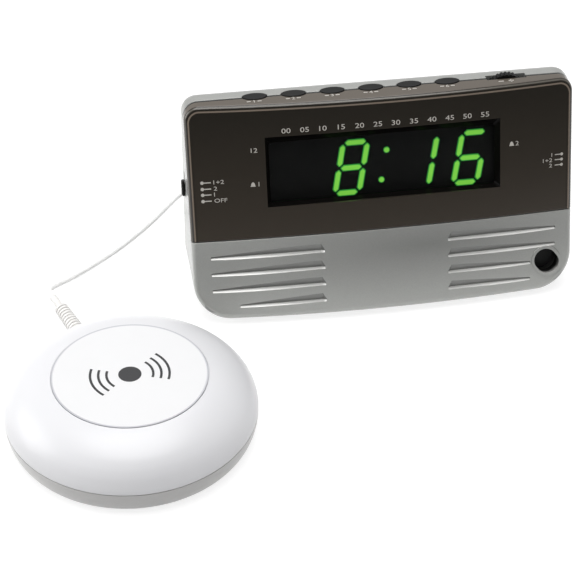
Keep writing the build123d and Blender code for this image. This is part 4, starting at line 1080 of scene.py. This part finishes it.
@dataclass
class Prints:
    """Numbers and marks on the cover.

    Attributes:
        ink: lift of the ink's underside and top.
        wide: width of the small figures over the font's own.
        minutes, minute_step: first of the minutes over the window, and their pitch.
        minute_marks, minutes_apart: how many they are, and the minutes from one to the next.
        row_drop: how far the figures beside a switch start under the middle of their dot.
        bells, bell_u, bell_digit_u: the numbered bells, and the places of bell and number in them.
        bell_half: outline of a bell's right half, from its foot up.
        noon: the number over the left bell.
        key_x, key_step, key_y, key_h: place, pitch and height of the keys' numbers on the top.
        key_count: how many keys there are.
        key_dash_x, key_dash_y: where the dashes beside a number start and end, from its foot.
        wheel_x, wheel_y: middle of less and more at the wheel, from the clock's middle and a number's foot.
        wheel_bars: place across, half width and half depth of their bars.
        top_z: height of the top.
    """

    ink: tuple[float, float] = (-0.025, 0.05)
    wide: float = 1.3
    minutes: Row = Row("00", -45.5, 89.2, 2.3, stretch=1.35)
    minute_step: float = 8.5
    minute_marks: int = 12
    minutes_apart: int = 5
    row_drop: float = 0.9
    bells: tuple[Row, ...] = (Row("1", -60.3, 65.0, 2.1), Row("2", 62.4, 73.9, 2.1))
    bell_u: float = -1.4
    bell_digit_u: float = 1.3
    bell_half: tuple[tuple[float, float], ...] = (
        (1.25, 0.0),
        (0.95, 0.5),
        (0.8, 1.3),
        (0.45, 1.9),
        (0.0, 2.1),
    )
    noon: Row = Row("12", -60.5, 81.1, 2.1, stretch=1.3)
    key_x: float = -58.8
    key_step: float = 18.05
    key_y: float = 32.4
    key_h: float = 1.9
    key_count: int = 6
    key_dash_x: tuple[float, float] = (1.6, 3.4)
    key_dash_y: tuple[float, float] = (0.65, 1.25)
    wheel_x: float = 59.5
    wheel_y: float = 1.2
    wheel_bars: tuple[tuple[float, float, float], ...] = (
        (-2.4, 1.2, 0.35),
        (2.4, 1.2, 0.35),
        (2.4, 0.25, 1.1),
    )
    top_z: float = 101.6

    def on_top(self, x: float, y: float, lift: float) -> Vector:
        """Point on the cover's level top, from the clock's front foot."""
        return Vector((CLOCK_X + x, CLOCK_Y + y, self.top_z + lift)) * MM

    def bell(self, u: float, v: float) -> Outline:
        """Outline of a small bell, anticlockwise from its right foot."""
        right = [(u + x, v + y) for x, y in self.bell_half]
        return right + [(u - x, v + y) for x, y in reversed(self.bell_half[:-1])]

    def print_face(self) -> None:
        """Prints the minutes, the marks of the switches, the bells and the 12."""
        build = bmesh.new()
        for i in range(self.minute_marks):
            text = f"{self.minutes_apart * i:02d}"
            u = self.minutes.u + i * self.minute_step
            add_row(build, replace(self.minutes, text=text, u=u), FACE.skin, self.ink)
        for marks in (LEFT_MARKS, RIGHT_MARKS):
            near, far = marks.dash_u
            for v, text in marks.rows:
                dash = bar(near, v - marks.dash_half, far, v + marks.dash_half)
                row = Row(text, marks.text_u, v - self.row_drop, marks.text_h, marks.align, self.wide)
                add_mark(build, disc(marks.dot_u, v, marks.dot_r), FACE.skin, self.ink)
                add_mark(build, dash, FACE.skin, self.ink)
                add_row(build, row, FACE.skin, self.ink)
        for row in self.bells:
            add_mark(build, self.bell(row.u + self.bell_u, row.v), FACE.skin, self.ink)
            add_row(build, replace(row, u=row.u + self.bell_digit_u), FACE.skin, self.ink)
        add_row(build, self.noon, FACE.skin, self.ink)
        join_piece("face_prints", PALE_INK, build)

    def print_top(self) -> None:
        """Prints the keys' numbers between dashes, and less and more at the wheel."""
        build = bmesh.new()
        low, high = [self.key_y + y for y in self.key_dash_y]
        for i in range(self.key_count):
            x = self.key_x + i * self.key_step
            row = Row(f"{i + 1}", x, self.key_y, self.key_h, stretch=self.wide)
            add_row(build, row, self.on_top, self.ink)
            for side in (-1, 1):
                near, far = sorted(x + side * reach for reach in self.key_dash_x)
                add_mark(build, bar(near, low, far, high), self.on_top, self.ink)
        y = self.key_y + self.wheel_y
        for aside, half_x, half_y in self.wheel_bars:
            x = self.wheel_x + aside
            add_mark(build, bar(x - half_x, y - half_y, x + half_x, y + half_y), self.on_top, self.ink)
        join_piece("key_numbers", PALE_INK, build)

    def dress(self) -> None:
        """Adds the prints of the face and of the top."""
        self.print_face()
        self.print_top()


@dataclass
class ShakerPuck:
    """White vibrating puck with its motor.

    Attributes:
        middle: the puck's axis on the table.
        label_z: top of the label.
        label_turn: how far its print is turned.
        ink: lift of the ink's underside and top.
        dot_r: radius of the dot of the sign for shaking.
        arcs, arc_half, arc_w: inner radius of the arcs round it, half their sweep in degrees, their width.
        steel: nodes of plated steel.
    """

    middle: tuple[float, float] = (-82.95, -28.8)
    label_z: float = 30.8
    label_turn: float = math.radians(12.0)
    ink: tuple[float, float] = (-0.02, 0.04)
    dot_r: float = 5.0
    arcs: tuple[float, ...] = (9.5, 13.0, 16.5)
    arc_half: float = 32.0
    arc_w: float = 1.1
    steel: tuple[str, ...] = ("shaker_screws", "shaker_motor", "motor_strap")

    def on_label(self, x: float, y: float, lift: float) -> Vector:
        """Finds a point on the label, turned the way that the print stands.

        Args:
            x: place across the print.
            y: place up the print.
            lift: height over the label.

        Returns:
            The point, in metres.
        """
        cos, sin = math.cos(self.label_turn), math.sin(self.label_turn)
        spot = (self.middle[0] + x * cos - y * sin, self.middle[1] + x * sin + y * cos, self.label_z + lift)
        return Vector(spot) * MM

    def arc(self, radius: float, towards: float, steps: int = 16) -> Outline:
        """Outline of a bent bar round the label's middle.

        Args:
            radius: its inner radius.
            towards: direction of its middle, in degrees.
            steps: number of straight pieces in each side.

        Returns:
            The outline, anticlockwise.
        """
        sweep = 2 * self.arc_half
        turns = [math.radians(towards - self.arc_half + sweep * i / steps) for i in range(steps + 1)]
        sides = ((radius + self.arc_w, turns), (radius, reversed(turns)))
        return [(reach * math.cos(turn), reach * math.sin(turn)) for reach, order in sides for turn in order]

    def dress(self) -> None:
        """Gives the puck its finishes and prints a plain sign for shaking on its label."""
        dress_nodes(WHITE_ABS, ("shaker_top",))
        # The lower shell takes the greyer copy of the white ABS: painted shade
        dress_nodes(WHITE_ABS_PAINTED_SHADE, ("shaker_base",))
        dress_nodes(LABEL, ("shaker_label",))
        dress_nodes(STEEL, self.steel)
        dress_nodes(BRASS, ("shaker_weight",))
        dress_nodes(VINYL, ("strain_relief",))
        build = bmesh.new()
        arcs = [self.arc(radius, towards) for radius in self.arcs for towards in (0, 180)]
        for outline in [disc(0, 0, self.dot_r, sides=40)] + arcs:
            add_mark(build, outline, self.on_label, self.ink)
        join_piece("label_sign", BLACK_INK, build)


@dataclass
class ShakerCord:
    """White lead from the puck, with its spare length wound up behind the clock.

    The route's points are those of the solid cord: from the strain relief over the table, the
    coil's turns, and the tail to the plug. They are given from the clock's front foot, but for tip.

    Attributes:
        radius, length_m: the cord's radius and its whole length.
        tip: where it leaves the strain relief.
        leave, leave_turn: length and direction of its straight start.
        coil_x, coil_y, coil_z, coil_r: middle and radius of the coil's first turn.
        coil_pitch, coil_layer, coil_layers: distance between turns, between layers, and number of layers.
        half_turns, points_per_half: half turns in a layer, and control points in each.
        plug_end_y, plug_z, tail_run: end of the plug, and length of the straight ends of the tail.
        lead: points from the strain relief to the coil.
        soft_nodes: CAD nodes that the curve stands for.
        on_cord: CAD nodes that sit on it.
    """

    radius: float = 1.15
    length_m: float = 1.50
    tip: tuple[float, float, float] = (-111.8646, 53.3076, 12.4)
    leave: float = 3.6
    leave_turn: float = math.radians(109.4)
    coil_x: float = -35.0
    coil_y: float = 113.1
    coil_r: float = 17.75
    coil_z: float = 2.4
    coil_pitch: float = 2.75
    coil_layer: float = 2.7
    coil_layers: int = 4
    half_turns: int = 7
    points_per_half: int = 8
    plug_end_y: float = 76.7
    plug_z: float = 18.0
    tail_run: float = 9.4
    lead: tuple[tuple[float, float, float], ...] = (
        (-158.4, 26.1, 10.6),
        (-156.0, 33.4, 6.8),
        (-150.9, 41.6, 2.8),
        (-143.0, 49.2, 1.2),
        (-134.0, 56.4, 1.2),
        (-125.0, 64.1, 1.2),
        (-116.2, 72.7, 1.2),
        (-107.2, 82.6, 1.2),
        (-98.7, 93.1, 1.2),
        (-90.8, 104.1, 1.2),
        (-82.0, 114.2, 1.2),
        (-71.6, 122.6, 1.2),
        (-59.8, 128.4, 1.825),
        (-48.3, 130.85, 2.4),
        (-37.3, 130.85, 2.4),
    )
    soft_nodes: tuple[str, ...] = ("cord_lead", "cord_coil", "cord_tail")
    on_cord: tuple[str, ...] = ("strain_relief", "coil_tie", "shaker_plug")

    def from_clock(self, x: float, y: float, z: float) -> Vector:
        """Point given from the clock's front foot."""
        return Vector((CLOCK_X + x, CLOCK_Y + y, z))

    def turn(self, spot: Vector, side: int, radius: float, climb: float, share: int) -> list[Vector]:
        """Control points of a bend of the coil.

        Args:
            spot: where the bend starts, at the far or near side of the coil.
            side: 1 for a bend that sets off to the right.
            radius: radius of the bend.
            climb: height that a whole half turn gains.
            share: number of points, points_per_half for a half turn.

        Returns:
            The points, evenly spread round the bend.
        """
        step = math.pi / self.points_per_half
        reach = radius / math.cos(step / 2)
        middle_y = spot.y - side * radius
        points = []
        for i in range(share):
            angle = (i + 0.5) * step
            x = spot.x + side * reach * math.sin(angle)
            y = middle_y + side * reach * math.cos(angle)
            points.append(Vector((x, y, spot.z + climb * (1 - math.cos(angle)) / 2)))
        return points

    def coil(self) -> tuple[list[Vector], Vector]:
        """Winds the coil in layers of half turns.

        Returns:
            Its control points, and the point where it ends.
        """
        points: list[Vector] = []
        spot = self.from_clock(self.coil_x, self.coil_y + self.coil_r, self.coil_z)
        side = 1
        radius = self.coil_r
        for layer in range(self.coil_layers):
            step = self.coil_pitch / 2 * (-1 if layer % 2 == 0 else 1)
            last = layer == self.coil_layers - 1
            for climb in [0.0] * (self.half_turns - last) + ([] if last else [self.coil_layer]):
                points += self.turn(spot, side, radius, climb, self.points_per_half)
                spot = spot + Vector((0, -2 * side * radius, climb))
                side = -side
                radius += -step if climb else step
        points += self.turn(spot, side, radius, 0.0, self.points_per_half // 2)
        return points, spot + Vector((side * radius, -side * radius, 0))

    def route(self) -> list[Vector]:
        """Lays the whole cord, from the strain relief to the plug.

        Returns:
            Its control points, in millimetres.
        """
        tip = Vector(self.tip)
        away = Vector((math.cos(self.leave_turn), math.sin(self.leave_turn), 0))
        turns, end = self.coil()
        end = end - Vector((0, 2 * self.radius, 0))
        jack_x = self.coil_x + self.coil_r
        tail = [
            end,
            end - Vector((0, self.tail_run, 0)),
            self.from_clock(jack_x, self.plug_end_y + self.tail_run, self.plug_z),
            self.from_clock(jack_x, self.plug_end_y, self.plug_z),
        ]
        return [tip, tip + away * self.leave] + [self.from_clock(*spot) for spot in self.lead] + turns + tail

    def build(self) -> None:
        """Draws the cord as one smooth spline, hides the CAD nodes that it stands for, and dresses the plug
        and the tie.
        """
        curve = bpy.data.curves.new("shaker_cord", "CURVE")
        curve.dimensions = "3D"
        curve.bevel_depth = self.radius * MM
        curve.bevel_resolution = 4
        curve.use_fill_caps = True
        curve.resolution_u = 4
        route = self.route()
        spline = curve.splines.new("NURBS")
        spline.points.add(len(route) - 1)
        for point, spot in zip(spline.points, route):
            point.co = (*(spot * MM), 1.0)
        spline.order_u = 3
        spline.use_endpoint_u = True
        curve.materials.append(CORD_VINYL.material())
        cord = bpy.data.objects.new("shaker_cord", curve)
        bpy.context.scene.collection.objects.link(cord)
        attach(cord, "clock")
        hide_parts(*self.soft_nodes)
        tuple(Vector(self.tip) * MM)
        [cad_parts[name] for name in self.on_cord]
        dress_nodes(VINYL, ("shaker_plug",))
        dress_nodes(TAPE, ("coil_tie",))
        LOG.info("shaker_cord: %d points", len(route))


@dataclass
class Studio:
    """Camera, lamps, pale floor and surroundings.

    Attributes:
        eye: the camera's place.
        yaw, pitch, roll: how it is turned, in degrees.
        lens, sensor: focal length and width of the sensor, in millimetres.
        near_m: distance at which the view starts.
        floor_m: width of the floor.
        lamps: name, place, aim, size and power of each soft lamp, in metres and watts.
        world_light: light that comes from all round.
        front_shine, back_shine: what gloss reflects of the front and of the back of the studio.
        shine_span: how far forward and back the one turns into the other.
        floor_albedo, floor_seen: share of light that the floor gives back, to pieces and to the eye.
        floor_glow: glow that makes it white to the eye.
        glow_span: where in front of the pieces that glow sets in for gloss, and is full.
    """

    eye: tuple[float, float, float] = (-0.11575, -0.5937, 0.5156)
    yaw: float = -10.165
    pitch: float = 37.858
    roll: float = 0.807
    lens: float = 107.82
    sensor: float = 36.0
    near_m: float = 0.01
    floor_m: float = 6.0
    lamps: tuple[tuple[str, tuple[float, ...], tuple[float, ...], float, float], ...] = (
        ("key_lamp", (-0.06, -0.06, 1.4), (0.0, 0.0, 0.03), 1.2, 14.0),
        ("left_lamp", (-1.2, 0.25, 0.5), (0.0, 0.0, 0.05), 0.9, 6.5),
        ("back_lamp", (0.1, 0.9, 1.5), (0.03, 0.03, 0.08), 0.8, 3.0),
    )
    world_light: float = 0.42
    front_shine: float = 0.10
    back_shine: float = 0.8
    shine_span: tuple[float, float] = (-0.8, 0.3)
    floor_albedo: float = 0.6
    floor_seen: float = 0.35
    floor_glow: float = 0.78
    glow_span: tuple[float, float] = (-0.6, -0.25)

    def set_camera(self) -> None:
        """Puts the camera where the photograph was taken from."""
        lens = bpy.data.cameras.new("photo_camera")
        lens.lens = self.lens
        lens.sensor_width = self.sensor
        lens.clip_start = self.near_m
        camera = bpy.data.objects.new("photo_camera", lens)
        turn = Matrix.Rotation(math.radians(self.yaw), 4, "Z")
        tilt = Matrix.Rotation(math.radians(90 - self.pitch), 4, "X")
        level = Matrix.Rotation(math.radians(self.roll), 4, "Z")
        camera.matrix_world = Matrix.Translation(self.eye) @ turn @ tilt @ level
        bpy.context.scene.collection.objects.link(camera)
        bpy.context.scene.camera = camera

    def set_lamps(self) -> None:
        """Hangs the soft lamps."""
        for name, place, aim, size, power in self.lamps:
            light = bpy.data.lights.new(name, "AREA")
            light.shape = "DISK"
            light.size = size
            light.energy = power
            lamp = bpy.data.objects.new(name, light)
            lamp.location = place
            lamp.rotation_euler = (Vector(aim) - Vector(place)).to_track_quat("-Z", "Y").to_euler()
            bpy.context.scene.collection.objects.link(lamp)

    def set_world(self) -> None:
        """Surrounds the scene with soft light, white to the eye and dark in the shine from the front."""
        world = bpy.data.worlds.new("studio_world")
        bpy.context.scene.world = world
        world.use_nodes = True
        tree = world.node_tree
        tree.nodes.clear()
        rays = add_node(tree, "LightPath").outputs
        way = add_node(tree, "TexCoord").outputs["Generated"]
        back = add_node(tree, "SeparateXYZ", inputs={0: way}).outputs[1]
        shine = add_node(
            tree,
            "MapRange",
            inputs={
                "Value": back,
                "From Min": self.shine_span[0],
                "From Max": self.shine_span[1],
                "To Min": self.front_shine,
                "To Max": self.back_shine,
            },
        )
        indirect = add_node(tree, "Mix", inputs={0: rays["Is Glossy Ray"], 2: self.world_light, 3: shine})
        strength = add_node(tree, "Mix", inputs={0: rays["Is Camera Ray"], 2: indirect, 3: 1.0})
        sky = add_node(tree, "Background", inputs={"Color": (1, 1, 1, 1), "Strength": strength})
        add_node(tree, "OutputWorld", inputs={"Surface": sky})

    def lay_floor(self) -> None:
        """Lays the pale floor, white to the eye but for the shadow."""
        build = bmesh.new()
        bmesh.ops.create_grid(build, x_segments=2, y_segments=2, size=self.floor_m / 2)
        mesh = bpy.data.meshes.new("studio_floor")
        build.to_mesh(mesh)
        build.free()
        paper = bpy.data.materials.new("white_paper_sweep")
        paper.use_nodes = True
        tree = paper.node_tree
        tree.nodes.clear()
        rays = add_node(tree, "LightPath").outputs
        place = add_node(tree, "TexCoord").outputs["Object"]
        back = add_node(tree, "SeparateXYZ", inputs={0: place}).outputs[1]
        start, full = self.glow_span
        near = add_node(tree, "MapRange", inputs={"Value": back, "From Min": start, "From Max": full})
        shiny = add_node(tree, "Math", {"operation": "MULTIPLY"}, {0: rays["Is Glossy Ray"], 1: near})
        seen = add_node(
            tree, "Math", {"operation": "MAXIMUM"}, {0: rays["Is Camera Ray"], 1: shiny}
        ).outputs[0]
        albedo = add_node(
            tree,
            "MapRange",
            inputs={"Value": rays["Is Camera Ray"], "To Min": self.floor_albedo, "To Max": self.floor_seen},
        )
        paint = add_node(tree, "BsdfDiffuse", inputs={"Color": albedo})
        glow = add_node(tree, "Math", {"operation": "MULTIPLY"}, {0: seen, 1: self.floor_glow})
        lit = add_node(tree, "Emission", inputs={"Strength": glow})
        both = add_node(tree, "AddShader", inputs={0: paint, 1: lit})
        add_node(tree, "OutputMaterial", inputs={"Surface": both})
        mesh.materials.append(paper)
        floor = bpy.data.objects.new("studio_floor", mesh)
        bpy.context.scene.collection.objects.link(floor)

    def build(self) -> None:
        """Sets up the camera, the light and the floor."""
        bpy.context.scene.view_settings.view_transform = "Standard"
        self.set_camera()
        self.set_lamps()
        self.set_world()
        self.lay_floor()
        LOG.info("studio: %d lamps", len(self.lamps))


def main() -> None:
    """Builds the studio, the cord and the dressed clock in order."""
    logging.basicConfig(level=logging.INFO, format="%(name)s %(message)s")
    Studio().build()
    ShakerCord().build()
    ClockCase().dress()
    Controls().dress()
    Display().dress()
    Prints().dress()
    ShakerPuck().dress()


if __name__ == "__main__":
    main()
